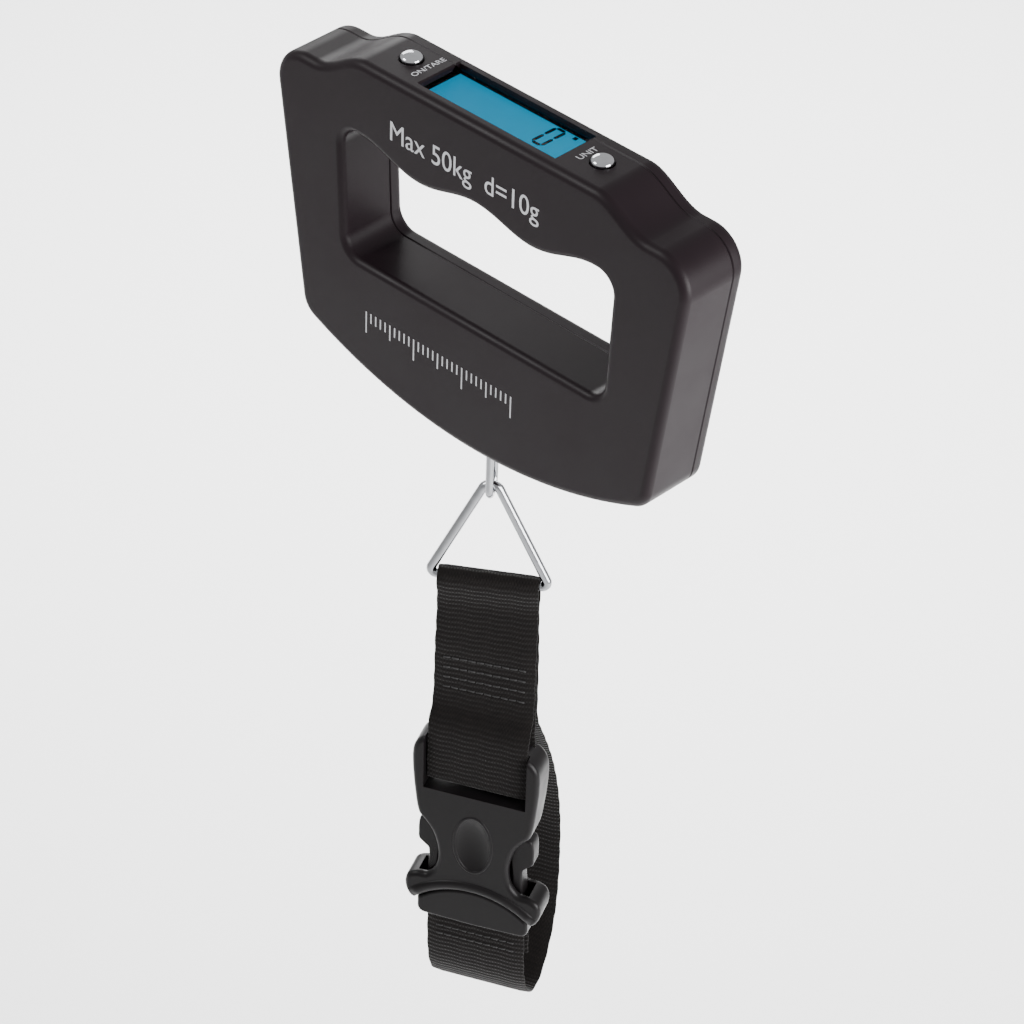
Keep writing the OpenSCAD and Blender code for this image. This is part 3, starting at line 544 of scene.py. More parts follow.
lit_lcd, tree, shader = blank("backlit_blue_lcd")
place = add(tree, "TexCoord").outputs["Object"]
split = add(tree, "SeparateXYZ", {"Vector": place})
glow = add(tree, "MapRange", {"Value": split.outputs["X"]}, {"From Min": -0.024, "From Max": 0.024})
blue = add(tree, "Mix", {"Factor": glow.outputs["Result"]}, data_type="RGBA")
blue.inputs["A"].default_value = linear("#0086b2")
blue.inputs["B"].default_value = linear("#0092bc")
film = add(tree, "TexNoise", {"Vector": place}, {"Scale": 1 / (0.5 * MM), "Detail": 1.0})
tone = add(tree, "MapRange", {"Value": film.outputs["Fac"]}, {"To Min": 0.94, "To Max": 1.06})
even = add(tree, "HueSaturation", {"Color": blue.outputs["Result"], "Value": tone.outputs["Result"]})
dim = add(tree, "HueSaturation", {"Color": even.outputs["Color"]}, {"Value": 0.12})
tree.links.new(dim.outputs["Color"], shader.inputs["Base Color"])
tree.links.new(even.outputs["Color"], shader.inputs["Emission Color"])
shader.inputs["Emission Strength"].default_value = 0.95
shader.inputs["Specular IOR Level"].default_value = 0.05
shader.inputs["Roughness"].default_value = 0.5
segment_ink = moulded("dark_lcd_segment", "#020c12", 0.5, grain=0.2, depth=0.001, level=0.1)

DIGIT_X, DIGIT_Y, DIGIT_W, DIGIT_H, BAR, MITRE, SLANT = 11.1, -2.0, 4.3, 9.9, 1.2, 0.12, 0.02
INK_LOW, INK_TOP = 20.015, 20.045
ZERO = {  # start and end of each bar, as shares of the digit's width and height
    "a": ((0, 1), (1, 1)), "b": ((1, 1), (1, 0.5)), "c": ((1, 0.5), (1, 0)),
    "d": ((0, 0), (1, 0)), "e": ((0, 0.5), (0, 0)), "f": ((0, 1), (0, 0.5)),
}


def bar(name, start, end):
    """One mitred bar of the digit, lying on the panel."""
    w, h = DIGIT_W - BAR, DIGIT_H - BAR
    ax, ay = DIGIT_X + start[0] * w, DIGIT_Y + start[1] * h
    bx, by = DIGIT_X + end[0] * w, DIGIT_Y + end[1] * h
    length = hypot(bx - ax, by - ay)
    dx, dy, half = (bx - ax) / length, (by - ay) / length, BAR / 2
    flat = [(MITRE, 0), (half, half - MITRE), (length - half, half - MITRE), (length - MITRE, 0),
            (length - half, MITRE - half), (half, MITRE - half)]
    points = [(ax + u * dx - v * dy, ay + u * dy + v * dx) for u, v in flat]
    return prism(name, [(x + SLANT * (y - DIGIT_Y), y) for x, y in points], INK_LOW, INK_TOP, along="Z")


zero = join("display_zero", *[bar("bar_" + letter, *ends) for letter, ends in ZERO.items()])
dress(zero, segment_ink, "housing", "lcd_glass")
mark = prism("display_mark", [(17.3, 5.8), (18.5, 5.8), (18.5, 7.1), (17.3, 7.1)],
             INK_LOW, INK_TOP, along="Z")
dress(mark, segment_ink, "housing", "lcd_glass")

# %% [markdown]
# ## Legends
# Pad-printed legends are a skin of ink a few hundredths thick. The rating on the bar and the
# key functions are generic words and numbers. On the chin there is a row of ruler ticks, which
# tells the hand that this is a measuring tool. Text starts flat, so it is made a mesh, turned
# to face its surface and moved there.

# %% Legends
def legend(name, words, height, width, place, turn):
    """Flat ink letters, height and width in mm, turned and moved onto the housing."""
    bpy.ops.object.text_add(location=(0, 0, 0))
    letters = bpy.context.object
    letters.data.body = words
    letters.data.size = height / 0.69 * MM
    letters.data.extrude = 0.015 * MM
    letters.data.resolution_u = 6
    only(letters)
    bpy.ops.object.convert(target="MESH")
    xs = [v.co.x for v in letters.data.vertices]
    letters.data.transform(Matrix.Diagonal((width * MM / (max(xs) - min(xs)), 1, 1, 1)))
    letters.data.transform(Matrix.Translation(Vector(place) * MM) @ turn)
    letters.name = letters.data.name = name
    letters.data.uv_layers.new(name="UVMap")
    return dress(edit(letters, merge), legend_ink, "housing", "shell_plastic", sharp=30)


UPRIGHT = Matrix.Rotation(radians(90), 4, "X")
LYING = Matrix.Rotation(radians(90), 4, "Z")
legend("legend_rating", "Max 50kg  d=10g", 5.6, 52, (-30, FRONT_Y - 0.01, 5.6), UPRIGHT)
legend("legend_tare", "ON/TARE", 1.7, 11.5, (-26.4, -5.6, PLATEAU_Z + 0.01), LYING)
legend("legend_unit", "UNIT", 1.9, 6.6, (28.6, -3.2, PLATEAU_Z + 0.01), LYING)

TICK_START, TICK_STEP, TICKS, TICK_TOP, TICK_HALF = -37.5, 1.75, 31, -50.8, 0.22
LONG, MEDIUM, SHORT = 6.6, 4.8, 3.0
ticks = []
for i in range(TICKS):
    tall = LONG if i % 10 == 0 else MEDIUM if i % 5 == 0 else SHORT
    x = TICK_START + i * TICK_STEP
    ticks.append(block("tick", (x - TICK_HALF, FRONT_Y - 0.03, TICK_TOP - tall),
                       (x + TICK_HALF, FRONT_Y + 0.02, TICK_TOP)))
dress(join("legend_ticks", *ticks), legend_ink, "housing", "shell_plastic")

# %% [markdown]
# ## Wire link and triangle ring
# Both are bent from polished steel wire. A wire bender pushes a length straight, turns it round
# a pin, and pushes again, and the same two moves build it here: the open end of a circle is
# extruded for a straight run and spun round a centre for a bend. The end meets the start, and
# merging closes the loop where the real one is welded.

# %% Wire bending
HANG_YAW, TWIST = 34, -9
hang_axis = Matrix.Translation((HANG_X * MM, 0, 0))
hang = hang_axis @ Matrix.Rotation(radians(HANG_YAW), 4, "Z")
strapped = hang_axis @ Matrix.Rotation(radians(HANG_YAW + TWIST), 4, "Z")


def bent(name, r, start, heading, moves, sides=24):
    """Wire in the xz plane. Moves are a length in mm, or a pair of bend angle and bend radius."""
    bpy.ops.mesh.primitive_circle_add(vertices=sides, radius=r * MM, location=(0, 0, 0))
    made = bpy.context.object
    turn = Matrix.Rotation(radians(90 - heading), 4, "Y")
    made.data.transform(Matrix.Translation((start[0] * MM, 0, start[1] * MM)) @ turn)
    only(made)
    bpy.ops.object.mode_set(mode="EDIT")
    select_all()
    x, z, h = start[0], start[1], radians(heading)
    for move in moves:
        if isinstance(move, tuple):
            angle, radius = radians(move[0]), move[1]
            cx, cz = x - radius * sin(h), z + radius * cos(h)
            bpy.ops.mesh.spin(steps=max(6, int(move[0] / 7)), angle=angle,
                              center=(cx * MM, 0, cz * MM), axis=(0, 1, 0))
            h += angle
            x, z = cx + radius * sin(h), cz - radius * cos(h)
        else:
            x, z = x + move * cos(h), z + move * sin(h)
            bpy.ops.mesh.extrude_region_move(
                TRANSFORM_OT_translate={"value": (move * cos(h) * MM, 0, move * sin(h) * MM)})
    bpy.ops.object.mode_set(mode="OBJECT")
    print(name, "ends", round(hypot(x - start[0], z - start[1]), 4), "mm from its start")
    made.name = made.data.name = name
    return edit(made, merge, outwards)


BAR_LOW, LINK_R, LINK_BEND, LINK_L = -63.35, 1.0, 3.8, 26.6
EYE_Z = BAR_LOW - 5.2
LINK_LOW = EYE_Z - LINK_L
straight = LINK_L - 2 * LINK_BEND
link = bent("link_wire", LINK_R, (LINK_BEND, LINK_LOW + LINK_BEND), 90,
            (straight, (180, LINK_BEND), straight, (180, LINK_BEND)))
link.data.transform(hang @ Matrix.Rotation(radians(90), 4, "Z"))
dress(link, ring_steel, "hanger_link", "ring_steel", "hanger_link", sharp=60)

RING_R, RING_H, APEX_BEND, FOOT_BEND, FOOT = 1.3, 31.7, 2.6, 1.6, 14.1
ring_top = LINK_LOW + LINK_R + RING_R + 0.25
foot_z = ring_top - RING_H
apex = (0, ring_top - APEX_BEND)
foot = (FOOT, foot_z + FOOT_BEND)
span = hypot(foot[0] - apex[0], foot[1] - apex[1])
lean = degrees(atan2(foot[0] - apex[0], apex[1] - foot[1]))
lean += degrees(asin((FOOT_BEND - APEX_BEND) / span))
side = sqrt(span ** 2 - (FOOT_BEND - APEX_BEND) ** 2)
low_bend, top_bend = (90 + lean, FOOT_BEND), (180 - 2 * lean, APEX_BEND)
ring = bent("ring_wire", RING_R, (-FOOT, foot_z), 0,
            (2 * FOOT, low_bend, side, top_bend, side, low_bend))
ring.data.transform(hang)
dress(ring, ring_steel, "triangle_ring", "ring_steel", "triangle_ring", sharp=60)

# %% [markdown]
# ## Webbing
# The strap is one length of woven polypropylene, 29 mm wide, sewn at first between two layers. It
# folds round the socket's bar, runs up over the ring, comes down behind as the loop, and turns
# round the bar of the catch. Flat webbing keeps its thickness, so it is modelled directly: a
# smooth curve through the model's stations, with a rounded section that carries ribs across
# the weave. When the buckle opens, the free half moves away.

# %% Webbing path
STRAP_W, STRAP_T, GAP = 29, 1.3, 0.2
FOLD, LAYER = RING_R + GAP + STRAP_T / 2, STRAP_T + GAP
SLOT_Z, STRAND_Y, ROD = -191.6, -5.3, (-1.1, -238.9)
FOLD_W, ROD_FOLD = 2 * (FOOT + 2.3 - 2 * RING_R), 1 + GAP + STRAP_T / 2
STITCH_Z = (-151.5, -155, -158.5, -162)
line = [(0, z) for z in (-148.5, *STITCH_Z, -168, -172)]
line += [(0.4, -176.2), (0.4, SLOT_Z + 0.2), (0, SLOT_Z - 1.1), (-1.2, SLOT_Z - 1.7),
         (-3.6, SLOT_Z - 1.7), (-4.7, SLOT_Z - 1.3), (STRAND_Y, SLOT_Z - 0.3),
         (STRAND_Y, -176.2), (-4.4, -172), (-2.4, -168.6)]
line += [(-LAYER, z) for z in (-162, -158.5, -155, -151.5, -147)]
line += [(-LAYER * 0.75, -142), (-LAYER / 2, -137), (-LAYER / 2, foot_z - 8), (-FOLD, foot_z - 1.5)]
line += [(FOLD * sin(radians(a)), foot_z + FOLD * cos(radians(a))) for a in range(-90, 91, 18)]
line += [(FOLD, foot_z - 1.5), (LAYER / 2, foot_z - 8), (LAYER / 2, -137), (LAYER * 0.75, -142)]
line += [(LAYER, z) for z in (-147, *STITCH_Z, -167)]
line += [(3.4, -172.5), (8, -180), (13, -188.5), (18.2, -198.5), (22.4, -209), (25.4, -219.5),
         (27, -229.5), (27.4, -238), (27.3, -248), (26, -257.5), (23.2, -265), (18.8, -271),
         (13.2, -274.8), (7.6, -274.6), (2.6, -270.8), (-0.9, -264.5), (-2.5, -256.5), (-2.9, -247)]
line += [(ROD[0] + ROD_FOLD * sin(radians(a)), ROD[1] + ROD_FOLD * cos(radians(a)))
         for a in range(-100, 101, 20)]
line += [(ROD[0] + ROD_FOLD, -246), (ROD[0] + ROD_FOLD + 0.4, -255)]


def smooth_line(points, pitch):
    """Even steps along a curve through the points. Its bends stay as tight as the points say."""
    dense = []
    padded = [points[0]] + points + [points[-1]]
    for p, q, r, s in zip(padded, padded[1:], padded[2:], padded[3:]):
        length = hypot(r[0] - q[0], r[1] - q[1])
        before = hypot(q[0] - p[0], q[1] - p[1]) or length
        after = hypot(s[0] - r[0], s[1] - r[1]) or length
        m0 = [(r[i] - p[i]) / (length + before) * length for i in (0, 1)]
        m1 = [(s[i] - q[i]) / (length + after) * length for i in (0, 1)]
        for k in range(12):
            t = k / 12
            at_q, by_q = 2 * t ** 3 - 3 * t ** 2 + 1, t ** 3 - 2 * t ** 2 + t
            at_r, by_r = 3 * t ** 2 - 2 * t ** 3, t ** 3 - t ** 2
            dense.append(tuple(at_q * q[i] + by_q * m0[i] + at_r * r[i] + by_r * m1[i]
                               for i in (0, 1)))
    dense.append(points[-1])
    spaced, travelled, target = [dense[0]], 0.0, pitch
    for p, q in zip(dense, dense[1:]):
        step = hypot(q[0] - p[0], q[1] - p[1])
        while travelled + step >= target:
            t = (target - travelled) / step
            spaced.append((p[0] + (q[0] - p[0]) * t, p[1] + (q[1] - p[1]) * t))
            target += pitch
        travelled += step
    return spaced, travelled


RIB = 1.6
stations, strap_length = smooth_line(line, RIB / 4)
print("webbing length", round(strap_length, 1), "mm,", len(stations), "stations")

# %% Webbing skin
ACROSS = 12


def ease(z):
    """How far the webbing has turned from the ring's direction to the buckle's."""
    return min(1, max(0, (foot_z - 6 - z) / 42))


rings = []
for i, (y, z) in enumerate(stations):
    y0, z0 = stations[max(i - 1, 0)]
    y1, z1 = stations[min(i + 1, len(stations) - 1)]
    length = hypot(y1 - y0, z1 - z0)
    ny, nz = -(z1 - z0) / length, (y1 - y0) / length
    half_w = (FOLD_W + (STRAP_W - FOLD_W) * ease(z)) / 2 - 0.12 + 0.07 * sin(i * 0.37)
    half_t = STRAP_T / 2 - 0.05 + 0.045 * cos(pi * i / 2)
    turn = radians(TWIST * ease(z))
    section = [(-1 + 2 * k / ACROSS, 1) for k in range(ACROSS + 1)] + [(1.012, 0)]
    section += [(1 - 2 * k / ACROSS, -1) for k in range(ACROSS + 1)] + [(-1.012, 0)]
    ring_points = []
    for u, v in section:
        edge = 0.62 if abs(u) > 0.99 else 1.0
        x = u * half_w
        d = v * half_t * edge
        py, pz = y + d * ny, z + d * nz
        ring_points.append((x * cos(turn) - py * sin(turn), x * sin(turn) + py * cos(turn), pz))
    rings.append(ring_points)
webbing = skin("strap_webbing", rings)
webbing.data.transform(hang)

cloth, tree, shader = blank("black_woven_polypropylene")
uv = add(tree, "TexCoord").outputs["UV"]
round_the_edge = 2 * (STRAP_W + STRAP_T)
scaled = add(tree, "Mapping", {"Vector": uv}, {"Scale": (round_the_edge, strap_length, 1)})
parts = add(tree, "SeparateXYZ", {"Vector": scaled.outputs["Vector"]})
# Warp yarns lie 0.8 mm apart, and each lags its neighbour a little, for a faint zigzag
warp = add(tree, "Math", {0: parts.outputs["X"]}, {1: 2 * pi / 0.8}, operation="MULTIPLY")
weft = add(tree, "Math", {0: parts.outputs["Y"]}, {1: 2 * pi / RIB}, operation="MULTIPLY")
zigzag = add(tree, "Math", {0: parts.outputs["X"]}, {1: 3.2}, operation="PINGPONG")
lag = add(tree, "Math", {0: zigzag.outputs["Value"]}, {1: 0.5}, operation="MULTIPLY")
phase = add(tree, "Math", {0: weft.outputs["Value"], 1: lag.outputs["Value"]}, operation="ADD")
across = add(tree, "Math", {0: warp.outputs["Value"]}, operation="SINE")
down = add(tree, "Math", {0: phase.outputs["Value"]}, operation="SINE")
yarn = add(tree, "Math", {0: across.outputs["Value"], 1: down.outputs["Value"]}, operation="MULTIPLY")
lift = add(tree, "Math", {0: yarn.outputs["Value"], 1: down.outputs["Value"]}, operation="ADD")
relief = add(tree, "Bump", {"Height": lift.outputs["Value"]}, {"Strength": 0.8, "Distance": 0.06 * MM})
fuzz = add(tree, "TexNoise", {"Vector": scaled.outputs["Vector"]}, {"Scale": 0.35, "Detail": 4.0})
# Painted shade: the hollows of the weave are darker and the crests of the yarns lighter, following the
# relief of the bump. The worn tone below is random wear, and both multiplies it with the painted shade.
shade = add(tree, "MapRange", {"Value": lift.outputs["Value"]},
            {"From Min": -1.6, "From Max": 1.6, "To Min": 0.8, "To Max": 1.2})
worn = add(tree, "MapRange", {"Value": fuzz.outputs["Fac"]},
           {"From Min": 0.3, "From Max": 0.7, "To Min": 0.8, "To Max": 1.25})
both = add(tree, "Math", {0: shade.outputs["Result"], 1: worn.outputs["Result"]}, operation="MULTIPLY")
tint = add(tree, "HueSaturation", {"Value": both.outputs["Value"]}, {"Color": linear("#0d0a09")})
tree.links.new(tint.outputs["Color"], shader.inputs["Base Color"])
tree.links.new(relief.outputs["Normal"], shader.inputs["Normal"])
shader.inputs["Roughness"].default_value = 0.8
shader.inputs["Sheen Weight"].default_value = 0.1
shader.inputs["Sheen Roughness"].default_value = 0.4
shader.inputs["Specular IOR Level"].default_value = 0.12
dress(webbing, cloth, None, "webbing", "webbing_upper", "webbing_lower", sharp=70)
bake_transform(webbing)

# %% [markdown]
# ## Stitching
# Four rows of bonded thread close the loop above the buckle, and two hold the free end. Each
# stitch is a short round bar that dips into the cloth at both ends, so one is modelled and the
# rest are copies of its mesh, set along the row with a small gap.

# %% Stitches
thread, tree, shader = blank("bonded_nylon_thread")
place = add(tree, "TexCoord").outputs["Object"]
ply = add(tree, "TexNoise", {"Vector": place}, {"Scale": 1 / (0.25 * MM), "Detail": 1.0})
shade = add(tree, "MapRange", {"Value": ply.outputs["Fac"]}, {"To Min": 0.7, "To Max": 1.4})
tint = add(tree, "HueSaturation", {"Value": shade.outputs["Result"]}, {"Color": linear("#0f0d0e")})
tree.links.new(tint.outputs["Color"], shader.inputs["Base Color"])
shader.inputs["Roughness"].default_value = 0.55

STITCH, THREAD_R = 2.35, 0.3
bpy.ops.mesh.primitive_uv_sphere_add(
    segments=8, ring_count=6, radius=THREAD_R * MM, location=(0, 0, 0))
stitch = bpy.context.object
stitch.data.transform(Matrix.Rotation(radians(90), 4, "Y"))
for vertex in stitch.data.vertices:
    vertex.co.x += (1 if vertex.co.x > 0 else -1) * (STITCH / 2 - THREAD_R - 0.1) * MM


def stitch_row(z, y, frame_matrix, turn=0.0, half=12.2):
    """Stitches across the webbing at one height, half of the row's width either way."""
    made = []
    facing = frame_matrix @ Matrix.Rotation(radians(turn), 4, "Z")
    count = int(2 * half / STITCH)
    for k in range(count):
        one = stitch.copy()
        one.data = stitch.data.copy()
        bpy.context.scene.collection.objects.link(one)
        slope = radians(4 if k % 2 else -4)
        at = Matrix.Translation(((k - (count - 1) / 2) * STITCH * MM, y * MM, z * MM))
        one.data.transform(facing @ at @ Matrix.Rotation(slope, 4, "Y"))
        made.append(one)
    return made


surface = LAYER + STRAP_T / 2
rows = [s for z in STITCH_Z for face in (-1, 1)
        for s in stitch_row(z, face * (surface - 0.02), hang, TWIST * ease(z))]
dress(join("strap_threads", *rows), thread, "strap", "thread", "strap_stitching", sharp=80)
rows = [s for z in (-248.5, -251.5) for s in stitch_row(z, -2.9 - STRAP_T / 2 + 0.05, strapped)]
dress(join("tail_threads", *rows), thread, "catch", "thread", "tail_stitching", sharp=80)
bpy.data.objects.remove(stitch)

# %% [markdown]
# ## Buckle socket
# The front half of a side-release buckle is one nylon moulding: a frame with a bar for the
# webbing, a hollow for the catch with a window on each side, and two wings beside a curved
# mouth. It starts as the front view's outline, extruded and rounded, and the hollows are cut
# out of it. A soft bead follows the mouth, and the thumb finds a shallow oval dimple.

# %% Socket
HALF_W, SOCKET_TOP, PLATE_TOP, MIDDLE, BUCKLE_T, DIMPLE_Z = 20, -177, -195.4, -2.5, 10, -212.3
FRONT_V, BACK_V = MIDDLE - BUCKLE_T / 2, MIDDLE + BUCKLE_T / 2
CHANNEL, WALL_X, HOLLOW, PLAY = STRAP_W / 2 + 0.4, 16.4, 14.7, 0.4
ARM_V = (MIDDLE - 2.6, MIDDLE + 2.6)
MOUTH_Z, MOUTH_R = -230, 24
mouth_c = (0, MOUTH_Z - MOUTH_R)


def through(points, pitch=0.9):
    """The points of a smooth curve through a few stations."""
    return smooth_line(points, pitch)[0]


flank = through([(18.5, -185.2), (18.35, -190), (17.6, -198), (16.4, -205.2), (14.5, -207.6), (12.4, -210.6),
                 (11, -214.6), (10.4, -219.4), (11.2, -224), (13.7, -227.2), (16.6, -227.5), (19.1, -228.8),
                 (20, -231), (19.95, -233.6), (18.9, -236.2), (17.6, -237.5)])
tip = degrees(atan2(flank[-1][1] - mouth_c[1], flank[-1][0]))
half_outline = [(0.4, SOCKET_TOP)] + arc((HALF_W - 8.4, SOCKET_TOP - 6.8), 6.8, 90, 4, 10) + flank
half_outline += arc(mouth_c, MOUTH_R, tip + 0.8, 89.2, 26)
socket = prism("buckle_front", mirrored(half_outline), FRONT_V, BACK_V, edge=1.5, steps=5)


def dimple(x, z, half_x, half_z, depth, surface_y):
    """A shallow oval hollow, cut by an ellipsoid that reaches just below the surface."""
    bulge = 3.2
    grow = 1 / sqrt(1 - (1 - depth / bulge) ** 2)
    bpy.ops.mesh.primitive_uv_sphere_add(segments=48, ring_count=32, radius=1, location=(0, 0, 0))
    made = bpy.context.object
    size = Matrix.Diagonal((half_x * grow * MM, bulge * MM, half_z * grow * MM, 1))
    made.data.transform(Matrix.Translation(Vector((x, surface_y + depth - bulge, z)) * MM) @ size)
    return made


cut(socket,
    block("front_channel", (-CHANNEL, FRONT_V - 3, PLATE_TOP),
          (CHANNEL, MIDDLE - 2, SOCKET_TOP + 3)),
    block("rear_channel", (-CHANNEL, MIDDLE + 2, PLATE_TOP),
          (CHANNEL, BACK_V + 3, SOCKET_TOP + 3)),
    block("slot", (-CHANNEL, FRONT_V - 3, PLATE_TOP), (CHANNEL, BACK_V + 3, SLOT_Z)),
    block("mouth_hollow", (-WALL_X, ARM_V[0] - PLAY, -242), (WALL_X, ARM_V[1] + PLAY, -226)),
    block("arm_hollow", (-HOLLOW, ARM_V[0] - PLAY, -227), (HOLLOW, ARM_V[1] + PLAY, -203)),
    dimple(0, DIMPLE_Z, 5.2, 9.6, 1.5, FRONT_V))
apply(socket, "BEVEL", width=0.3 * MM, segments=2, limit_method="ANGLE", angle_limit=radians(50))


def bead(name, radius, width, height, end_angle, y, sunk=0.3):
    """A rounded moulding along the mouth, sunk a little, its ends faded into the wings."""
    rings = []
    for i in range(61):
        t = -1 + i / 30
        a = radians(90) - radians(end_angle) * t
        fade = min(1, (1 - abs(t)) * 9 + 0.05)
        ring = []
        for s in [pi * k / 10 for k in range(11)]:
            r = radius + width / 2 * cos(s)
            ring.append((r * cos(a), y - (height * fade + sunk) * sin(s) + sunk, mouth_c[1] + r * sin(a)))
        rings.append(ring)
    return skin(name, rings)


lip = bead("lip", MOUTH_R + 2.0, 3.4, 0.75, 44, FRONT_V)
rim_rings = []
for a in [2 * pi * i / 64 for i in range(65)]:
    rim_rings.append([((5.5 + 0.5 * cos(s)) * cos(a), FRONT_V - 0.28 * sin(s) + 0.1,
                       DIMPLE_Z + (9.9 + 0.5 * cos(s)) * sin(a))
                      for s in [2 * pi * k / 12 for k in range(12)]])
socket = join("buckle_front", socket, lip, skin("dimple_rim", rim_rings, ends=False))
socket.data.transform(strapped)
dress(socket, buckle_nylon, "strap", "buckle_plastic", "buckle_socket", sharp=40)

# %% [markdown]
# ## Catch and arms
# The catch is the other half. Its plate fills the mouth and carries the bar that the webbing
# folds round, and its two springy arms end in ears that show in the side windows, where finger
# and thumb press them. The arms turn about their roots in the model, so each is its own piece.

# %% Catch
CATCH_HALF, CATCH_LOW = 16.4, -242.4
edge_angle = degrees(atan2(sqrt((MOUTH_R - PLAY) ** 2 - CATCH_HALF ** 2), CATCH_HALF))
plate = arc(mouth_c, MOUTH_R - PLAY, 89.2, edge_angle, 20)
plate += [(CATCH_HALF, CATCH_LOW + 2.4)] + arc((CATCH_HALF - 2.2, CATCH_LOW + 2.2), 2.2, 0, -90, 6)
plate += [(0.4, CATCH_LOW - 0.4)]
catch = prism("buckle_rear", mirrored(plate), FRONT_V + 0.6, BACK_V - 0.6, edge=1.0, steps=4)
cut(catch, block("webbing_slot", (-CHANNEL, MIDDLE - 1.9, -250), (CHANNEL, BACK_V + 3, -236.1)))
bpy.ops.mesh.primitive_cylinder_add(
    vertices=32, radius=1 * MM, depth=(2 * CHANNEL + 1) * MM, location=(0, 0, 0))
cross_bar = bpy.context.object
rod_place = Matrix.Translation((0, ROD[0] * MM, ROD[1] * MM))
cross_bar.data.transform(rod_place @ Matrix.Rotation(radians(90), 4, "Y"))
neck = prism("neck", mirrored([(14.4, -230.7), (14.4, -235.6)]), *ARM_V, edge=0.3, steps=2)
guide = prism("guide", mirrored([(1.8, -222), (2.6, -231)]),
              MIDDLE - 1.5, MIDDLE + 1.5, edge=0.3, steps=2)
catch = join("buckle_rear", catch, cross_bar, neck, guide)
catch.data.transform(strapped)
dress(catch, buckle_nylon, "catch", "buckle_plastic", "buckle_catch", sharp=40)

# %% Arms
EAR_X = 17
arm_points = [(2.6, -230.1), (3, -226), (3.1, -219.6), (1.8, -218.2), (0.2, -216.6), (0, -214.6),
              (0.1, -210.6), (0.8, -208.4), (2.4, -207.6), (3.2, -206.4), (4.2, -204.6),
              (5.8, -203.8), (7.2, -204.6), (7.4, -208.4), (6.8, -215), (6.2, -222), (6, -230.1)]
arm_line = through([(EAR_X - x, z) for x, z in arm_points], 0.6)
for side_name, flip in (("right", 1), ("left", -1)):
    arm = prism(f"buckle_arm_{side_name}", [(flip * x, z) for x, z in arm_line], *ARM_V,
                edge=0.7, steps=3)
    arm.data.transform(strapped)
    dress(arm, buckle_nylon, f"{side_name}_arm", "buckle_plastic", f"catch_arm_{side_name}",
          sharp=50)

# %% [markdown]
# ## Battery cover
# The cover at the back turns through 60 degrees to come free. It is a shallow moulded disc
# with a rounded rim, a slot for a coin and a ring of small grip notches, so a turned disc is
# cut by one long prism and a ring of fine cylinders.

# %% Battery cover
COVER_R, COVER_LOW, COVER_SIDE, COVER_RIM = 11.9, 8.65, 10.0, 0.45
SLOT_HALF, SLOT_R, NOTCH_AT, NOTCH_R, LUG_AT = 6.6, 0.9, 10.6, 0.45, 12.35
profile = [(0, COVER_LOW), (COVER_R, COVER_LOW), (COVER_R, COVER_SIDE)]
profile += [(COVER_R - COVER_RIM * (1 - cos(radians(a))), COVER_SIDE + COVER_RIM * sin(radians(a)))
            for a in range(15, 91, 15)] + [(0, COVER_SIDE + COVER_RIM)]
cover = turned("battery_cover", profile, CELL)
coin_slot = arc((SLOT_HALF, 0), SLOT_R, -90, 90, 8) + arc((-SLOT_HALF, 0), SLOT_R, 90, 270, 8)
slot_cut = prism("coin_slot", [(CELL[0] + x, CELL[1] + z) for x, z in coin_slot], 9.55, 12)
notches = []
for a in [radians(30 * i) for i in range(12)]:
    spot = (CELL[0] + NOTCH_AT * cos(a), CELL[1] + NOTCH_AT * sin(a))
    notches.append(turned("notch", ((NOTCH_R, 9.9), (NOTCH_R, 11)), spot))
cut(cover, slot_cut, join("notches", *notches))
lugs = [block("lug", (CELL[0] + s * LUG_AT - 0.5, COVER_LOW, CELL[1] - 2.5),
              (CELL[0] + s * LUG_AT + 0.5, 9.45, CELL[1] + 2.5)) for s in (-1, 1)]
dress(join("battery_cover", cover, *lugs), charcoal_abs, "battery_cap", "shell_plastic",
      "battery_cap", sharp=40)

# %% [markdown]
# ## Inner parts
# The remaining nodes keep the shape that the engineering model gave them, and only need their
# own finish: glass, rubber, laminate, brass, bronze and aluminium, each with the grain or the
# marks of how it was made.

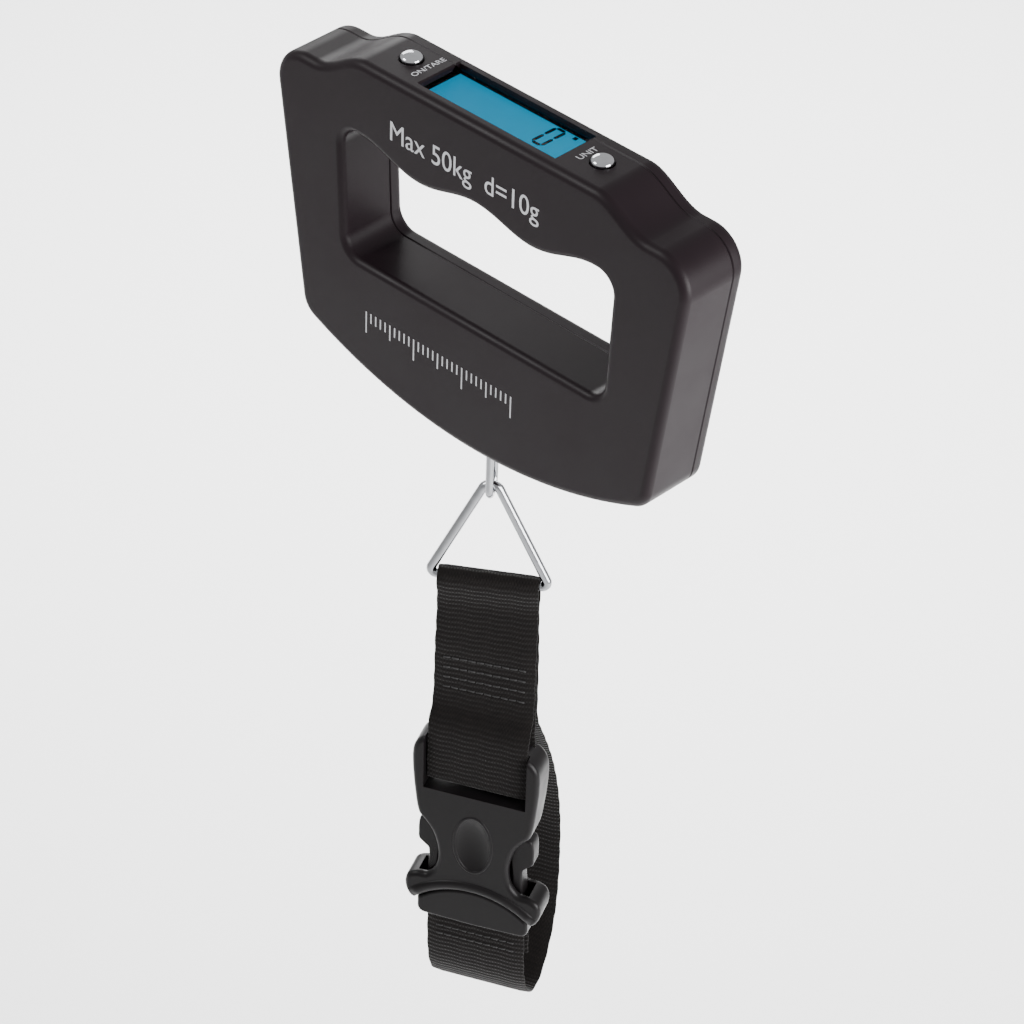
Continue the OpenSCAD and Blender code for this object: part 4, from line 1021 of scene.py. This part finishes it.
# %% Finishes of the inner parts
rubber = moulded("black_silicone_rubber", "#1c1c1d", 0.7, grain=0.3)
laminate = moulded("green_board_laminate", "#1d5a34", 0.45, grain=0.4)
resin = moulded("black_moulded_resin", "#161617", 0.6, grain=0.25)
milk_pc = moulded("milky_light_guide", "#e6edf0", 0.35, grain=0.5)
zebra = moulded("pink_zebra_rubber", "#c98aa2", 0.6, grain=0.2)
acetal = moulded("brown_acetal_plunger", "#6a4c30", 0.5)
switch_pa = moulded("grey_switch_nylon", "#3b3c3e", 0.5)
coating = moulded("white_gauge_coating", "#dcdcd6", 0.55)
sleeve = moulded("red_wire_sleeve", "#a32828", 0.45)
aluminium = metal("milled_aluminium", "#c3c6ca", 0.32, line=0.25, depth=0.006)
brass = metal("contact_brass", "#d6b263", 0.25)
bronze = metal("sintered_bronze", "#b98d4b", 0.4)
nickel = metal("nickel_plated_cell", "#d3d5d8", 0.22)
INNER = {
    "window_lens": (window_pc, "lens"), "window_gasket": (rubber, "rubber_black"),
    "lcd_panel": (lit_lcd, "lcd_glass"), "backlight": (milk_pc, "light_guide"),
    "zebra_strips": (zebra, "zebra_rubber"),
    "main_board": (laminate, "circuit_board"), "controller_chip": (resin, "black_resin"),
    "board_screws": (zinc_steel, "zinc_steel"), "tact_switches": (switch_pa, "switch_plastic"),
    "tare_plunger": (acetal, "plunger_plastic"), "unit_plunger": (acetal, "plunger_plastic"),
    "load_cell": (aluminium, "cell_aluminium"), "strain_gauges": (coating, "gauge_coating"),
    "cell_nut_plate": (zinc_steel, "zinc_steel"), "cell_screws": (zinc_steel, "zinc_steel"),
    "thrust_washer": (bronze, "bronze"), "sensor_wires": (sleeve, "wire_sleeve"),
    "coin_cell": (nickel, "coin_steel"), "battery_contacts": (brass, "contact_brass"),
    "battery_leads": (sleeve, "wire_sleeve"),
    "cap_seal": (rubber, "rubber_black"), "case_screws": (zinc_steel, "zinc_steel"),
    "swivel_stud": (ring_steel, "ring_steel"), "stud_nut": (zinc_steel, "zinc_steel"),
}
for node, (material, slot) in INNER.items():
    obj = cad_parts[node]
    obj.data.materials.clear()
    obj.data.materials.append(material)
print("inner parts finished:", len(INNER))
